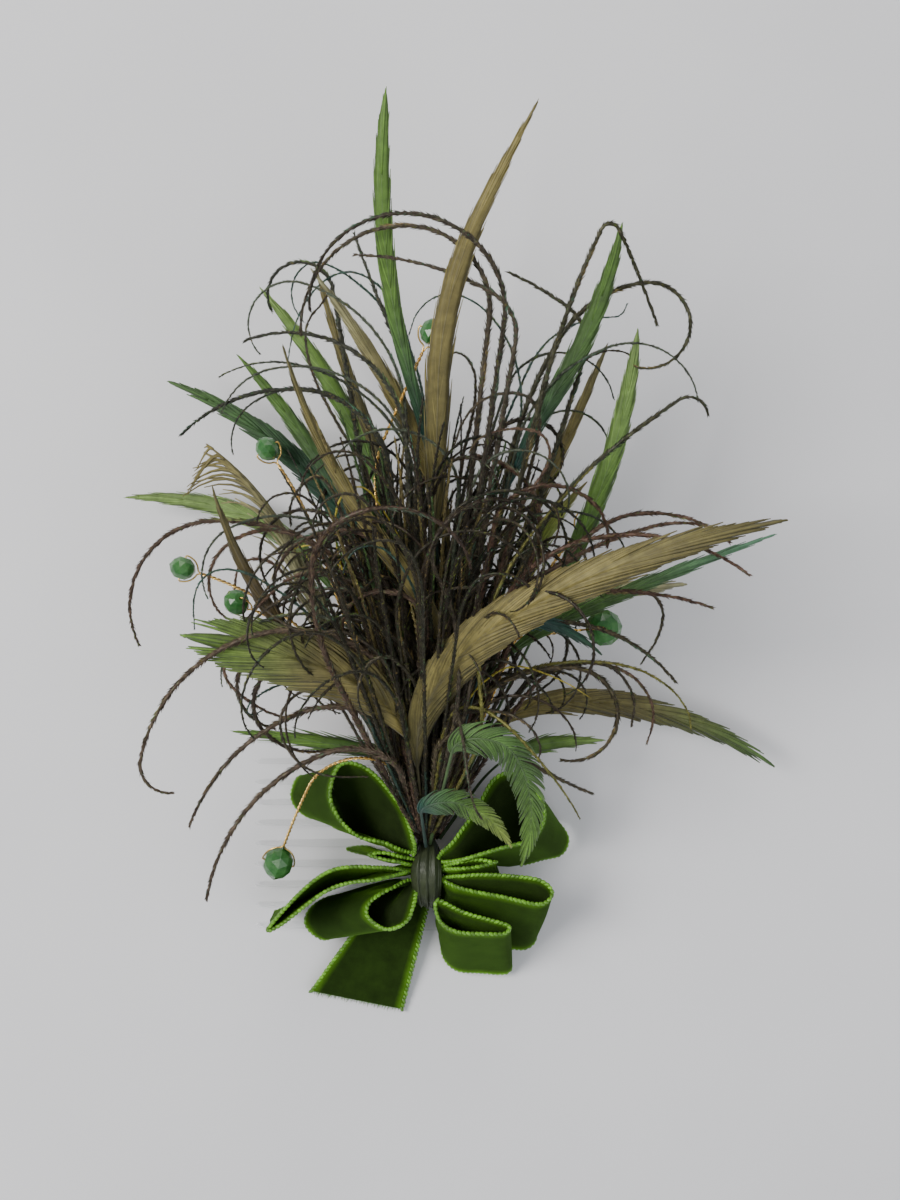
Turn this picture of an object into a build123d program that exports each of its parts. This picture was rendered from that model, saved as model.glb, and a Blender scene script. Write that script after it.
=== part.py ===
from build123d import *
import math
import os

import numpy as np

# A fascinator on a hair comb, in millimetres.
#
# Frame: the headpiece lies on its comb.  The origin is the middle of the flat back of the comb's
# spine, +Z points away from the head, +Y runs up the plume to the feather tips and the comb's
# teeth point along -X.

# ---------------------------------------------------------------- driving dimensions
COMB_LENGTH = 45.6
SPINE_DEPTH = 5.0
SPINE_HEIGHT = 3.4
SPINE_ROUNDING = 1.2
TOOTH_COUNT = 10
TOOTH_PITCH = 4.8
TOOTH_REACH = 38.0
TOOTH_ROOT_WIDTH = 2.6
TOOTH_TIP_WIDTH = 1.1
TOOTH_HEIGHT = 1.8
TOOTH_LIFT = 0.5
TOOTH_EMBED = 0.6

BINDING_WIRE = 0.6
BINDING_GROOVE = 0.75
BINDING_CLEARANCE = 0.05
BINDING_TURNS = (-14.4, -9.6, -4.8, 4.8, 9.6, 14.4)

RIBBON_WIDTH = 22.0
RIBBON_THICKNESS = 0.8
RIM_POINTS = 30

KNOT_CENTRE = (0.0, -7.5, 12.3)
KNOT_WIDTH = 7.0
KNOT_LENGTH = 17.0
KNOT_HEIGHT = 16.4
KNOT_PLEATS = (-1.4, 1.0)
PLEAT_DEPTH = 0.4
PLEAT_WIDTH = 0.4

APEX = np.array([0.0, -4.0, 13.0])
BUNDLE_LENGTH = 20.0
BUNDLE_RADIUS = 5.6
BUNDLE_RISE = 20.0
BUNDLE_TIP_RADIUS = 1.6
BUNDLE_TIP_START = 3.0
EARLY_START = 12.0

HERL_DIAMETER = 0.8
FEATHER_THICKNESS = 0.45
QUILL_WIDTH = 0.9
TIP_WIDTH = 0.7
STEM_WIRE = 0.7
LOOP_WIRE = 0.5
BEAD_HOLE = 0.6
BEAD_FACETS = 10
BEAD_RINGS = [(-0.86, 0.42), (-0.52, 0.80), (0.0, 1.0), (0.52, 0.80), (0.86, 0.42)]
BEAD_FLATTENING = 0.9
LOOP_ROOM = 1.1

FREE_GAP = 0.14
TABLE_GAP = 0.35

# ---------------------------------------------------------------- ribbon loops
# Each loop is a closed strip that stands on its edge.  "rim" is the outline of its upper edge,
# seen from above and starting at the knot, "top" is that edge's height, and "lean" is how far the
# lower edge is carried sideways.
RIBBON_LOOPS = {
    "ribbon_loop_upper_left": dict(
        rim=[
            (-2.6, -3), (-9.6, 0), (-15.6, 1.6), (-20, 5.4), (-22, 11), (-19.4, 17.6),
            (-13.4, 17), (-8, 11.6), (-4, 5),
        ],
        top=22.6,
        lean=(-10.3, -0.4),
    ),
    "ribbon_loop_upper_right": dict(
        rim=[
            (3, -4.5), (6.5, 1.5), (11, 8), (15, 14.5), (19.5, 16), (23.5, 13.5),
            (26.5, 7), (24, 1), (16, -1.5),
        ],
        top=22.6,
        lean=(6.8, -7.2),
    ),
    "ribbon_loop_middle_left": dict(
        rim=[
            (-3, -6.8), (-11, -4.8), (-20.6, -5.2), (-28.6, -10.8), (-35.6, -18.6),
            (-32.6, -18.2), (-21, -9.9), (-8.4, -8),
        ],
        top=25.2,
        lean=(-2, -1.6),
    ),
    "ribbon_loop_lower_left": dict(
        rim=[(-3, -9.6), (-7.6, -9.8), (-12.6, -12.8), (-13.2, -17), (-8.8, -19.8), (-4, -17)],
        top=21.6,
        lean=(-15, -4.4),
    ),
    "ribbon_loop_middle_right": dict(
        rim=[
            (3, -8.6), (9.6, -7), (18, -7.2), (25.4, -8.2), (28.4, -11.4), (25.4, -14),
            (16.4, -12.4), (8.2, -10.6),
        ],
        top=21.2,
        lean=(-3, -13),
    ),
    "ribbon_loop_lower_right": dict(
        rim=[
            (2.4, -13.4), (8.5, -15.4), (14.5, -17.4), (18.6, -18.8), (17.5, -20.8), (12, -20.8),
            (6, -20.2), (2.6, -17.4),
        ],
        top=20.6,
        lean=(1, -12),
    ),
}
PINCH_PROFILE = [(2.6, 8.5), (2.6, 16.5), (14.0, 27.0), (45.0, 27.0), (45.0, 0.0), (15.0, 0.0), (11.0, 4.4)]

TAIL_TOP_LEFT = (-13.0, -17.0, 5.3)
TAIL_TOP_RIGHT = (1.0, -12.5, 5.5)
TAIL_END_LEFT = (-27.2, -37.1, 1.2)
TAIL_END_RIGHT = (-6.1, -41.4, 0.8)

# ---------------------------------------------------------------- strands
# Every strand runs straight out of one point inside the knot and then bends.  "aim" is its
# bearing from +Y towards +X and its rise above the table, in degrees, and "reach" is the distance
# from that point to the first bend.  Each bend is a radius, a turn in degrees and the side that
# the strand bends to: 0 is right, 90 up, 180 left and -90 down, seen along the strand.
# "vane" is where the barbs begin, along the strand, and "width" is the blade's greatest width.
FEATHERS = {
    "feather_right_pale": dict(
        aim=(-11, 25), reach=26, bends=[(28, 75, 0), (120, 22, 0)], vane=38, width=6.5
    ),
    "feather_tall_green": dict(
        aim=(2, 20), reach=70, bends=[(130, 18, 180), (150, 20, 0), (600, 0.8, 0)], vane=100, width=3.6
    ),
    "feather_tall_olive": dict(
        aim=(1.5, 22), reach=110, bends=[(96, 25, 0), (600, 2, 0)], vane=85, width=5.2
    ),
    "feather_right_lime": dict(aim=(25, 17), reach=80, bends=[(150, 19, 180)], vane=68, width=4.4),
    "feather_right_green": dict(
        aim=(11, 19), reach=70, bends=[(120, 20, 0), (110, 20, 180)], vane=95, width=4.0
    ),
    "feather_right_olive": dict(
        aim=(16, 9), reach=60, bends=[(200, 9, 0), (600, 3, 180)], vane=80, width=2.8
    ),
    "feather_upper_left_olive": dict(
        aim=(5, 18), reach=60, bends=[(75, 30, 180), (200, 12, 180)], vane=80, width=4.0
    ),
    "feather_upper_left_thin": dict(
        aim=(-3, 8), reach=55, bends=[(120, 19, 180), (300, 8, 0)], vane=85, width=2.6
    ),
    "feather_upper_left_green": dict(
        aim=(-5, 5), reach=60, bends=[(100, 20, 180), (150, 16, 180)], vane=85, width=4.0
    ),
    "feather_left_lime": dict(
        aim=(-11, 4), reach=55, bends=[(110, 22, 180), (150, 10, 180)], vane=80, width=3.5
    ),
    "feather_left_emerald": dict(
        aim=(-9, 0), reach=50, bends=[(70, 36, 180), (90, 24, 180)], vane=70, width=4.6
    ),
    "feather_front_olive": dict(
        aim=(10, 36), reach=36, bends=[(50, 52, 200), (130, 22, 10)], vane=48, width=3.8
    ),
    "feather_left_split": dict(aim=(-23, 19), reach=80, bends=[(60, 28, 185)], vane=55, width=4.0),
    "feather_left_brown": dict(
        aim=(-22, 27), reach=32, bends=[(50, 22, 180), (100, 30, 0)], vane=60, width=3.0
    ),
    "feather_left_level": dict(
        aim=(-19, -2), reach=56, bends=[(42, 58, 180), (80, 15, 180)], vane=70, width=4.4
    ),
    "feather_left_fan": dict(
        aim=(-5, 40), reach=30, bends=[(30, 70, 190), (200, 8, 180)], vane=45, width=11.0
    ),
    "feather_right_broad": dict(
        aim=(-5, 42), reach=30, bends=[(50, 59, 0), (150, 21.6, -30)], vane=40, width=7.5
    ),
    "feather_right_teal": dict(
        aim=(14, 26.5), reach=33, bends=[(45, 48, 0), (600, 4.7, 0)], vane=60, width=3.0
    ),
    "feather_right_dark_tip": dict(
        aim=(15, 35), reach=60, bends=[(10, 100, -10), (30, 25, 0)], vane=64, width=3.0
    ),
    "feather_lower_right_olive": dict(
        aim=(20, -1), reach=18, bends=[(28, 70, 0), (80, 36, -14)], vane=40, width=4.6
    ),
    "feather_lower_right_green": dict(
        aim=(35, 10), reach=20, bends=[(25, 50, 0), (200, 3, 0)], vane=32, width=3.4
    ),
    "feather_front_palm": dict(
        aim=(12, 52), reach=44, bends=[(7, 150, 0), (50, 40, 0)], vane=46, width=7.0
    ),
    "feather_front_small": dict(
        aim=(-5, 62), reach=26, bends=[(5, 140, 0), (40, 30, 0)], vane=28, width=5.0
    ),
    "feather_lower_left_green": dict(
        aim=(-12, 12), reach=16, bends=[(12, 66, 180), (300, 6, 180)], vane=26, width=3.6
    ),
    "feather_left_broad": dict(aim=(-3, 15), reach=50, bends=[(60, 35, 180)], vane=52, width=7.0),
    "feather_right_yellow": dict(aim=(19, 7), reach=66, bends=[(60, 26, 0)], vane=66, width=3.6),
}

BEADS = {
    "bead_lower_left": dict(
        aim=(-16, 38), reach=24, bends=[(11, 144, 180), (200, 5, 180)], size=8.0, tilt=10
    ),
    "bead_right": dict(aim=(0, 27), reach=36, bends=[(20, 78, 0), (200, 5, 0)], size=8.0, tilt=90),
    "bead_left": dict(aim=(-21, 16), reach=30, bends=[(70, 28, 180), (60, 22, 180)], size=6.0, tilt=0),
    "bead_top": dict(aim=(-7.5, 19), reach=86, bends=[(25, 30, 0), (600, 2, 0)], size=6.0, tilt=0),
    "bead_upper_left": dict(aim=(-19, 4), reach=76, bends=[(70, 16, 180)], size=6.0, tilt=0),
    "bead_inner_left": dict(aim=(-19, 20), reach=28, bends=[(60, 24, 180), (60, 20, 180)], size=6.0, tilt=60),
    "bead_inner_right": dict(aim=(22, 5), reach=60, bends=[(60, 20, 0)], size=6.0, tilt=0),
}

HERLS = {
    "herls_crown": [
        dict(aim=(8, 28), reach=130, bends=[(19.5, 190, 180)]),
        dict(aim=(6.5, 21), reach=126, bends=[(17, 90, 180), (21, 100, 180)]),
        dict(aim=(9.5, 21.5), reach=122, bends=[(10, 70, 180), (60, 28, 180)]),
        dict(aim=(8.5, 17), reach=96, bends=[(8, 240, 0)]),
    ],
    "herls_upper_left": [
        dict(aim=(-9, 14), reach=130, bends=[(7, 200, 180)]),
        dict(aim=(-0.5, 17), reach=88, bends=[(90, 22, 180), (300, 4, 0)]),
        dict(aim=(-2.5, 22.5), reach=100, bends=[(24, 110, 180)]),
        dict(aim=(-5, 21), reach=92, bends=[(20, 80, 180), (32, 50, 180)]),
    ],
    "herls_upper_right": [
        dict(aim=(11.5, 16), reach=92, bends=[(90, 20, 0), (24, 50, 0), (9, 205, 0)]),
        dict(aim=(13.5, 21), reach=110, bends=[(200, 11, 0), (2, 130, 0), (200, 6, 0)]),
        dict(aim=(17, 17.5), reach=120, bends=[(10, 70, 180), (60, 14, 180)]),
        dict(aim=(17.5, 25), reach=74, bends=[(60, 30, 0), (200, 6, 0), (4, 120, 0)]),
    ],
    "herls_right": [
        dict(aim=(16, 30), reach=66, bends=[(28, 58, 0), (40, 50, 0)]),
        dict(aim=(20, 30), reach=58, bends=[(24, 62, 0), (60, 24, 0)]),
        dict(aim=(11, 29), reach=86, bends=[(12, 180, 0)]),
        dict(aim=(18.5, 20), reach=80, bends=[(14, 150, 180), (8, 90, 180)]),
    ],
    "herls_left": [
        dict(aim=(-8, 23), reach=50, bends=[(38, 85, 180), (18, 115, 180)]),
        dict(aim=(-24, 40.5), reach=60, bends=[(80, 22, 0), (16, 170, 0)]),
        dict(aim=(-4, 28), reach=70, bends=[(14, 200, 180)]),
        dict(aim=(0.5, 34.5), reach=64, bends=[(9, 230, 180)]),
    ],
    "herls_lower_left": [
        dict(aim=(-8.5, 34.5), reach=44, bends=[(24, 95, 180), (34, 66, 180), (6, 110, 180)]),
        dict(aim=(-12, 35), reach=32, bends=[(16, 100, 180), (42, 50, 180)]),
        dict(aim=(-15, 42.5), reach=28, bends=[(13, 100, 180), (42, 58, 180)]),
        dict(aim=(-16, 33), reach=50, bends=[(13, 200, 180), (16, 60, 180)]),
        dict(aim=(-21, 30.5), reach=56, bends=[(12, 230, 180)]),
    ],
    "herls_lower_right": [
        dict(aim=(10, 32), reach=30, bends=[(28, 80, 0), (10, 190, 0)]),
        dict(aim=(5, 45), reach=36, bends=[(8, 135, 0), (100, 16, 180)]),
        dict(aim=(7, 33), reach=44, bends=[(24, 85, 0), (32, 50, 0)]),
    ],
}
CORE_NODE = "herls_core"
CORE_TRIES = 150
CORE_HALF_ANGLE = 27.0
CORE_RISE = 26.0
GOLDEN_ANGLE = 137.508


def unit(v):
    return v / np.linalg.norm(v)


def heading(bearing, rise):
    """Unit vector of a bearing from +Y towards +X and a rise above the table."""
    b = math.radians(bearing)
    r = math.radians(rise)
    return np.array([math.cos(r) * math.sin(b), math.cos(r) * math.cos(b), math.sin(r)])


def side_of(direction):
    """Level unit vector to the right of a direction."""
    return unit(np.cross(direction, [0.0, 0.0, 1.0]))


def route(aim, reach, bends, start):
    """A strand as a list of runs: (origin, direction, bend direction, radius, length)."""
    direction = heading(*aim)
    runs = [(APEX + direction * start, direction, side_of(direction), None, reach - start)]
    point = APEX + direction * reach
    for radius, turn, roll in bends:
        side = side_of(direction)
        up = np.cross(side, direction)
        toward = math.cos(math.radians(roll)) * side + math.sin(math.radians(roll)) * up
        angle = math.radians(turn)
        runs.append((point, direction, toward, radius, radius * angle))
        point, direction = on_run(runs[-1], radius * angle)
    return [run for run in runs if run[4] > 0.01]


def on_run(run, distance):
    """Point and direction at a distance along one run."""
    origin, direction, toward, radius, _ = run
    if radius is None:
        return origin + direction * distance, direction
    angle = distance / radius
    point = origin + radius * math.sin(angle) * direction + radius * (1 - math.cos(angle)) * toward
    return point, math.cos(angle) * direction + math.sin(angle) * toward


def length_of(runs):
    return sum(run[4] for run in runs)


def on_route(runs, distance):
    """Point and direction at a distance along the whole strand."""
    for run in runs[:-1]:
        if distance <= run[4]:
            return on_run(run, distance)
        distance -= run[4]
    return on_run(runs[-1], distance)


def samples(runs, step=0.7):
    """Points along a strand, evenly spaced."""
    count = max(2, int(length_of(runs) / step))
    return np.array([on_route(runs, length_of(runs) * i / count)[0] for i in range(count + 1)])


def vector(v):
    return Vector(*(float(x) for x in v))


def tube(runs, diameter):
    """Round tube along a strand's straight runs and arcs."""
    edges = []
    for run in runs:
        start = vector(on_run(run, 0)[0])
        end = vector(on_run(run, run[4])[0])
        if run[3] is None:
            edges.append(Edge.make_line(start, end))
        else:
            middle = vector(on_run(run, run[4] / 2)[0])
            edges.append(Edge.make_three_point_arc(start, middle, end))
    section = Plane(origin=vector(runs[0][0]), z_dir=vector(runs[0][1])) * Circle(diameter / 2)
    return sweep(section, path=Wire(edges))


# ---------------------------------------------------------------- keeping strands apart
class Space:
    """What is already placed, as short chunks of sample points with one radius each."""

    CHUNK = 8

    def __init__(self):
        self.points = np.zeros((0, self.CHUNK, 3))
        self.middles = np.zeros((0, 3))
        self.spans = np.zeros(0)
        self.radii = np.zeros(0)

    def chunks(self, points):
        """Chunks, their middles and how far their points lie from them."""
        short = -len(points) % self.CHUNK
        grouped = np.vstack([points, np.repeat(points[-1:], short, axis=0)]).reshape(-1, self.CHUNK, 3)
        middles = grouped.mean(1)
        return grouped, middles, np.linalg.norm(grouped - middles[:, None], axis=2).max(1)

    def clear(self, points, radius):
        grouped, middles, spans = self.chunks(points)
        apart = np.linalg.norm(middles[:, None] - self.middles[None], axis=2)
        need = radius + self.radii + FREE_GAP
        i, j = np.nonzero(apart < spans[:, None] + (self.spans + need)[None])
        if not len(i):
            return True
        gaps = np.linalg.norm(grouped[i][:, :, None] - self.points[j][:, None], axis=3)
        return bool((gaps.min((1, 2)) > need[j]).all())

    def add(self, points, radius):
        grouped, middles, spans = self.chunks(points)
        self.points = np.concatenate([self.points, grouped])
        self.middles = np.concatenate([self.middles, middles])
        self.spans = np.concatenate([self.spans, spans])
        self.radii = np.concatenate([self.radii, np.full(len(grouped), radius)])


def nudges(limit=5.0, step=0.5):
    """Small changes of aim, nearest first."""
    span = np.arange(-limit, limit + step / 2, step)
    pairs = [(a, b) for a in span for b in span]
    return sorted(pairs, key=lambda p: (p[0] ** 2 + p[1] ** 2, p))


def start_of(reach):
    """Strands that bend early start further down the bundle."""
    return BUNDLE_LENGTH if reach >= BUNDLE_LENGTH + 2 else EARLY_START


def settle(space, spec, outline, radius):
    """Runs of a strand, its aim moved as little as keeps it clear of the others."""
    bearing, rise = spec["aim"]
    for db, dr in nudges():
        start = start_of(spec["reach"])
        runs = route((bearing + db, rise + dr), spec["reach"], spec["bends"], start)
        points = outline(runs)
        if points[:, 2].min() > TABLE_GAP + radius and space.clear(points, radius):
            space.add(points, radius)
            return runs
    raise ValueError(f"no room for a strand aimed at {spec['aim']}")


# ---------------------------------------------------------------- feathers
def blade_width(spec, runs, distance):
    """Width of a feather at a distance along it: quill, swelling blade, pointed tip."""
    first = spec["vane"] - np.linalg.norm(runs[0][0] - APEX)
    if distance <= first:
        return QUILL_WIDTH
    part = (distance - first) / (length_of(runs) - first)
    swell = math.sin(math.pi * min(1.0, 0.12 + 0.88 * part) ** 0.75)
    return max(TIP_WIDTH, spec["width"] * swell)


def blade_outline(spec, runs):
    """Sample points over a feather's blade."""
    count = int(length_of(runs) / 0.9)
    rows = []
    for i in range(count + 1):
        distance = length_of(runs) * i / count
        point, direction = on_route(runs, distance)
        half = blade_width(spec, runs, distance) / 2
        steps = max(2, int(half / 0.45))
        rows += [point + side_of(direction) * half * k / steps for k in range(-steps, steps + 1)]
    return np.array(rows)


def feather(spec, runs):
    """Thin blade lofted through flat sections along the strand."""
    first = spec["vane"] - np.linalg.norm(runs[0][0] - APEX)
    stations = [0.0]
    walked = 0.0
    for run in runs:
        turn = 0.0 if run[3] is None else run[4] / run[3]
        count = max(1, math.ceil(turn / 0.35))
        stations += [walked + run[4] * (i + 1) / count for i in range(count)]
        walked += run[4]
    blade = walked - first
    stations += [first] + [first + blade * f for f in (0.15, 0.35, 0.55, 0.75, 0.9)]
    kept = []
    for distance in sorted(s for s in stations if 0 <= s <= walked):
        if not kept or distance - kept[-1] > 2.0:
            kept.append(distance)
    kept[-1] = walked
    wires = []
    for distance in kept:
        point, direction = on_route(runs, distance)
        plane = Plane(origin=vector(point), x_dir=vector(side_of(direction)), z_dir=vector(direction))
        width = blade_width(spec, runs, distance)
        wires.append((plane * Rectangle(width, FEATHER_THICKNESS)).wire())
    return Solid.make_loft(wires, ruled=True)


# ---------------------------------------------------------------- beads and their wires
def bead_frame(spec, runs):
    """Centre of the bead, hole axis and loop radius at the end of a wire."""
    end, direction = on_route(runs, length_of(runs))
    side = side_of(direction)
    up = np.cross(side, direction)
    tilt = math.radians(spec["tilt"])
    axis = math.cos(tilt) * side + math.sin(tilt) * up
    loop = spec["size"] / 2 + LOOP_ROOM
    return end + direction * (loop + LOOP_WIRE / 2), axis, loop, direction


def bead(spec, runs):
    """Bead cut in triangular facets, with a round hole for the wire."""
    centre, axis, _, direction = bead_frame(spec, runs)
    radius = spec["size"] / 2
    layers = []
    for number, (along, out) in enumerate(BEAD_RINGS):
        turn = 0.5 * (number % 2)
        height = radius * BEAD_FLATTENING * along
        layer = []
        for k in range(BEAD_FACETS):
            a = 2 * math.pi * (k + turn) / BEAD_FACETS
            layer.append(Vector(radius * out * math.cos(a), radius * out * math.sin(a), height))
        layers.append(layer)
    faces = []
    for low, high, odd in zip(layers, layers[1:], (0, 1, 0, 1)):
        for k in range(BEAD_FACETS):
            n = (k + 1) % BEAD_FACETS
            if odd == 0:
                corners = [(low[k], low[n], high[k]), (low[n], high[n], high[k])]
            else:
                corners = [(low[k], high[n], high[k]), (low[k], low[n], high[n])]
            faces += [Face(Wire.make_polygon(c)) for c in corners]
    faces.append(Face(Wire.make_polygon(layers[0])))
    faces.append(Face(Wire.make_polygon(layers[-1])))
    solid = Solid(Shell(faces))
    solid = Part() + solid - Cylinder(BEAD_HOLE / 2, 2 * spec["size"])
    place = Plane(origin=vector(centre), x_dir=vector(direction), z_dir=vector(axis))
    return place * solid


def bead_wire(spec, runs):
    """Twisted stem, the half ring round the bead and the pin through its hole."""
    centre, axis, loop, direction = bead_frame(spec, runs)
    place = Plane(origin=vector(centre), x_dir=vector(axis), z_dir=vector(np.cross(axis, direction)))
    short = math.degrees(math.asin(LOOP_WIRE / 2 / loop))
    section = Plane(origin=(loop, 0, 0), z_dir=(0, 1, 0)) * Circle(LOOP_WIRE / 2)
    ring = Rot(0, 0, -short) * revolve(section, axis=Axis.Z, revolution_arc=-(180 - 2 * short))
    pin = Rot(0, 90, 0) * Cylinder(LOOP_WIRE / 2, 2 * loop + LOOP_WIRE)
    return Compound([tube(runs, STEM_WIRE).solid(), (place * ring).solid(), (place * pin).solid()])


# ---------------------------------------------------------------- comb, bow and bundle
def comb():
    """Flat-backed spine with tapered teeth and shallow grooves for the binding."""
    spine = Box(SPINE_DEPTH, COMB_LENGTH, SPINE_HEIGHT, align=(Align.CENTER, Align.CENTER, Align.MIN))
    spine = fillet(spine.edges().group_by(Axis.Z)[-1], SPINE_ROUNDING)
    first = -TOOTH_PITCH * (TOOTH_COUNT - 1) / 2
    root = -SPINE_DEPTH / 2 + TOOTH_EMBED
    tip = -SPINE_DEPTH / 2 - TOOTH_REACH
    for k in range(TOOTH_COUNT):
        y = first + k * TOOTH_PITCH
        outline = Polyline(
            (root, y - TOOTH_ROOT_WIDTH / 2),
            (root, y + TOOTH_ROOT_WIDTH / 2),
            (tip + 1, y + TOOTH_TIP_WIDTH / 2),
            (tip, y),
            (tip + 1, y - TOOTH_TIP_WIDTH / 2),
            close=True,
        )
        tooth = extrude(make_face(outline), amount=TOOTH_HEIGHT)
        spine += Pos(0, 0, TOOTH_LIFT) * tooth
    for y in BINDING_TURNS:
        spine -= Pos(0, y, 0) * Box(
            SPINE_DEPTH + 1, BINDING_WIRE + 0.2, BINDING_GROOVE, align=(Align.CENTER, Align.CENTER, Align.MIN)
        )
    return spine


def binding():
    """Turns of wire round the spine, one between each pair of teeth, sunk in the flat back."""
    low = BINDING_CLEARANCE + BINDING_WIRE / 2
    high = SPINE_HEIGHT + BINDING_CLEARANCE + BINDING_WIRE / 2
    half = SPINE_DEPTH / 2 + BINDING_CLEARANCE + BINDING_WIRE / 2
    turns = []
    for y in BINDING_TURNS:
        plane = Plane(origin=(0, y, (low + high) / 2), x_dir=(1, 0, 0), z_dir=(0, -1, 0))
        path = plane * RectangleRounded(2 * half, high - low, 0.7)
        section = Plane(origin=(0, y, high), z_dir=(1, 0, 0)) * Circle(BINDING_WIRE / 2)
        turns.append(sweep(section, path=path.wire()).solid())
    return Compound(turns)


def knot():
    """Pleated tape wrapped over the middle of the bow."""
    plane = Plane(origin=KNOT_CENTRE, x_dir=(0, 1, 0), z_dir=(1, 0, 0))
    body = extrude(plane * Ellipse(KNOT_LENGTH / 2, KNOT_HEIGHT / 2), amount=KNOT_WIDTH / 2, both=True)
    outside = Ellipse(KNOT_LENGTH / 2 + 1, KNOT_HEIGHT / 2 + 1)
    floor = Ellipse(KNOT_LENGTH / 2 - PLEAT_DEPTH, KNOT_HEIGHT / 2 - PLEAT_DEPTH)
    for x in KNOT_PLEATS:
        groove = plane.offset(x) * (outside - floor)
        body -= extrude(groove, amount=PLEAT_WIDTH / 2, both=True)
    return body


def stem_bundle():
    """Bound feather stems between the knot and the plume."""
    direction = heading(0, BUNDLE_RISE)
    plane = Plane(origin=vector(APEX), z_dir=vector(direction))
    length = BUNDLE_LENGTH - BUNDLE_TIP_START
    middle = BUNDLE_TIP_START + length / 2
    cone = plane * Pos(0, 0, middle) * Cone(BUNDLE_TIP_RADIUS, BUNDLE_RADIUS, length)
    ball = plane * Sphere(BUNDLE_LENGTH)
    return (cone & ball) - knot()


def pinch():
    """Space that the bow fills: low at the knot and full height further out."""
    profile = make_face(Polyline(*[(r, 0, z) for r, z in PINCH_PROFILE], close=True))
    return Pos(KNOT_CENTRE[0], KNOT_CENTRE[1], 0) * revolve(profile, axis=Axis.Z)


def rim_curve(rim, count):
    """Closed smooth curve through the rim's points, as evenly numbered samples."""
    known = np.array(rim)
    size = len(known)
    curve = []
    for k in range(count):
        whole, t = divmod(k * size / count, 1)
        a, b, c, d = (known[(int(whole) + n) % size] for n in (-1, 0, 1, 2))
        bend = 2 * a - 5 * b + 4 * c - d
        curve.append(b + 0.5 * t * ((c - a) + t * (bend + t * (3 * (b - c) + d - a))))
    return np.array(curve)


def drop_of(spec):
    """Height that a loop's ribbon takes up when it leans."""
    return math.sqrt(RIBBON_WIDTH**2 - spec["lean"][0] ** 2 - spec["lean"][1] ** 2)


def wall_points(spec):
    """Points over a ribbon loop's wall, one column after another."""
    columns = []
    steps = np.linspace(0, 1, 24)[:, None]
    for x, y in rim_curve(spec["rim"], 72):
        upper = np.array([x, y, spec["top"]])
        columns.append(upper + steps * np.array([*spec["lean"], -drop_of(spec)]))
    return np.vstack(columns)


def ribbon_loop(spec):
    """Closed ribbon loop, cut down to the knot's height where it is gathered."""
    outline = Spline(*[tuple(p) for p in rim_curve(spec["rim"], RIM_POINTS).tolist()], periodic=True)
    face = make_face(outline)
    inner = offset(face, -RIBBON_THICKNESS).wire()
    inside = Spline(*[inner.position_at(k / RIM_POINTS) for k in range(RIM_POINTS)], periodic=True)
    strip = Pos(0, 0, spec["top"]) * (face - make_face(inside))
    loop = Part() + Solid.extrude(strip.face(), Vector(*spec["lean"], -drop_of(spec)))
    return loop & pinch()


def ribbon_tail():
    """Flat end of the ribbon, from under the bow down to the table."""
    corners = [TAIL_TOP_LEFT, TAIL_TOP_RIGHT, TAIL_END_RIGHT, TAIL_END_LEFT]
    lower = [Vector(*c) - Vector(0, 0, RIBBON_THICKNESS / 2) for c in corners]
    sections = []
    for a, b in ((0, 1), (3, 2)):
        rise = Vector(0, 0, RIBBON_THICKNESS)
        sections.append(Wire.make_polygon([lower[a], lower[b], lower[b] + rise, lower[a] + rise]))
    return Solid.make_loft(sections, ruled=True)


def save(name, shape):
    export_step(shape, f"parts/{name}.step")


def core_spec(number):
    """One of the short curled strands that fill the middle of the plume."""
    share = (number + 0.5) / CORE_TRIES
    off = CORE_HALF_ANGLE * math.sqrt(share)
    around = math.radians(number * GOLDEN_ANGLE)
    bearing = off * math.cos(around)
    rise = CORE_RISE + off * math.sin(around) * 0.8
    roll = 0 if bearing > 0 else 180
    tip = (number * 7) % 5
    return dict(
        aim=(round(bearing, 1), round(rise, 1)),
        reach=42 + (number * 13) % 47,
        bends=[(34, 18 + 4 * tip, roll - 20), (7 + 2 * tip, 110 + 20 * tip, roll)],
    )


def build():
    space = Space()
    for spec in RIBBON_LOOPS.values():
        space.add(wall_points(spec), RIBBON_THICKNESS / 2)
    save("comb", comb())
    save("comb_binding", binding())
    save("knot", knot())
    save("stem_bundle", stem_bundle())
    for name, spec in RIBBON_LOOPS.items():
        save(name, ribbon_loop(spec))
    save("ribbon_tail", ribbon_tail())
    for name, spec in BEADS.items():
        def around_wire(runs, spec=spec):
            centre, _, loop, _ = bead_frame(spec, runs)
            spread = [(a, b) for a in range(0, 360, 40) for b in (-60, -30, 0, 30, 60)]
            ball = [centre + loop / 2 * heading(a, b) for a, b in spread]
            return np.vstack([samples(runs), ball, [centre]])
        runs = settle(space, spec, around_wire, STEM_WIRE / 2)
        centre, _, loop, _ = bead_frame(spec, runs)
        space.add(np.array([centre]), loop)
        save(name, bead(spec, runs))
        save(name.replace("bead", "wire"), bead_wire(spec, runs))
    for name, spec in FEATHERS.items():
        runs = settle(space, spec, lambda r, s=spec: blade_outline(s, r), FEATHER_THICKNESS / 2)
        save(name, feather(spec, runs))
    for name, specs in HERLS.items():
        solids = []
        for spec in specs:
            runs = settle(space, spec, samples, HERL_DIAMETER / 2)
            solids.append(tube(runs, HERL_DIAMETER).solid())
        save(name, Compound(solids))
    solids = []
    for number in range(CORE_TRIES):
        spec = core_spec(number)
        runs = route(spec["aim"], spec["reach"], spec["bends"], BUNDLE_LENGTH)
        points = samples(runs)
        if points[:, 2].min() > 2 and space.clear(points, HERL_DIAMETER / 2):
            space.add(points, HERL_DIAMETER / 2)
            solids.append(tube(runs, HERL_DIAMETER).solid())
    save(CORE_NODE, Compound(solids))


build()
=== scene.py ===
import math

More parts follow.
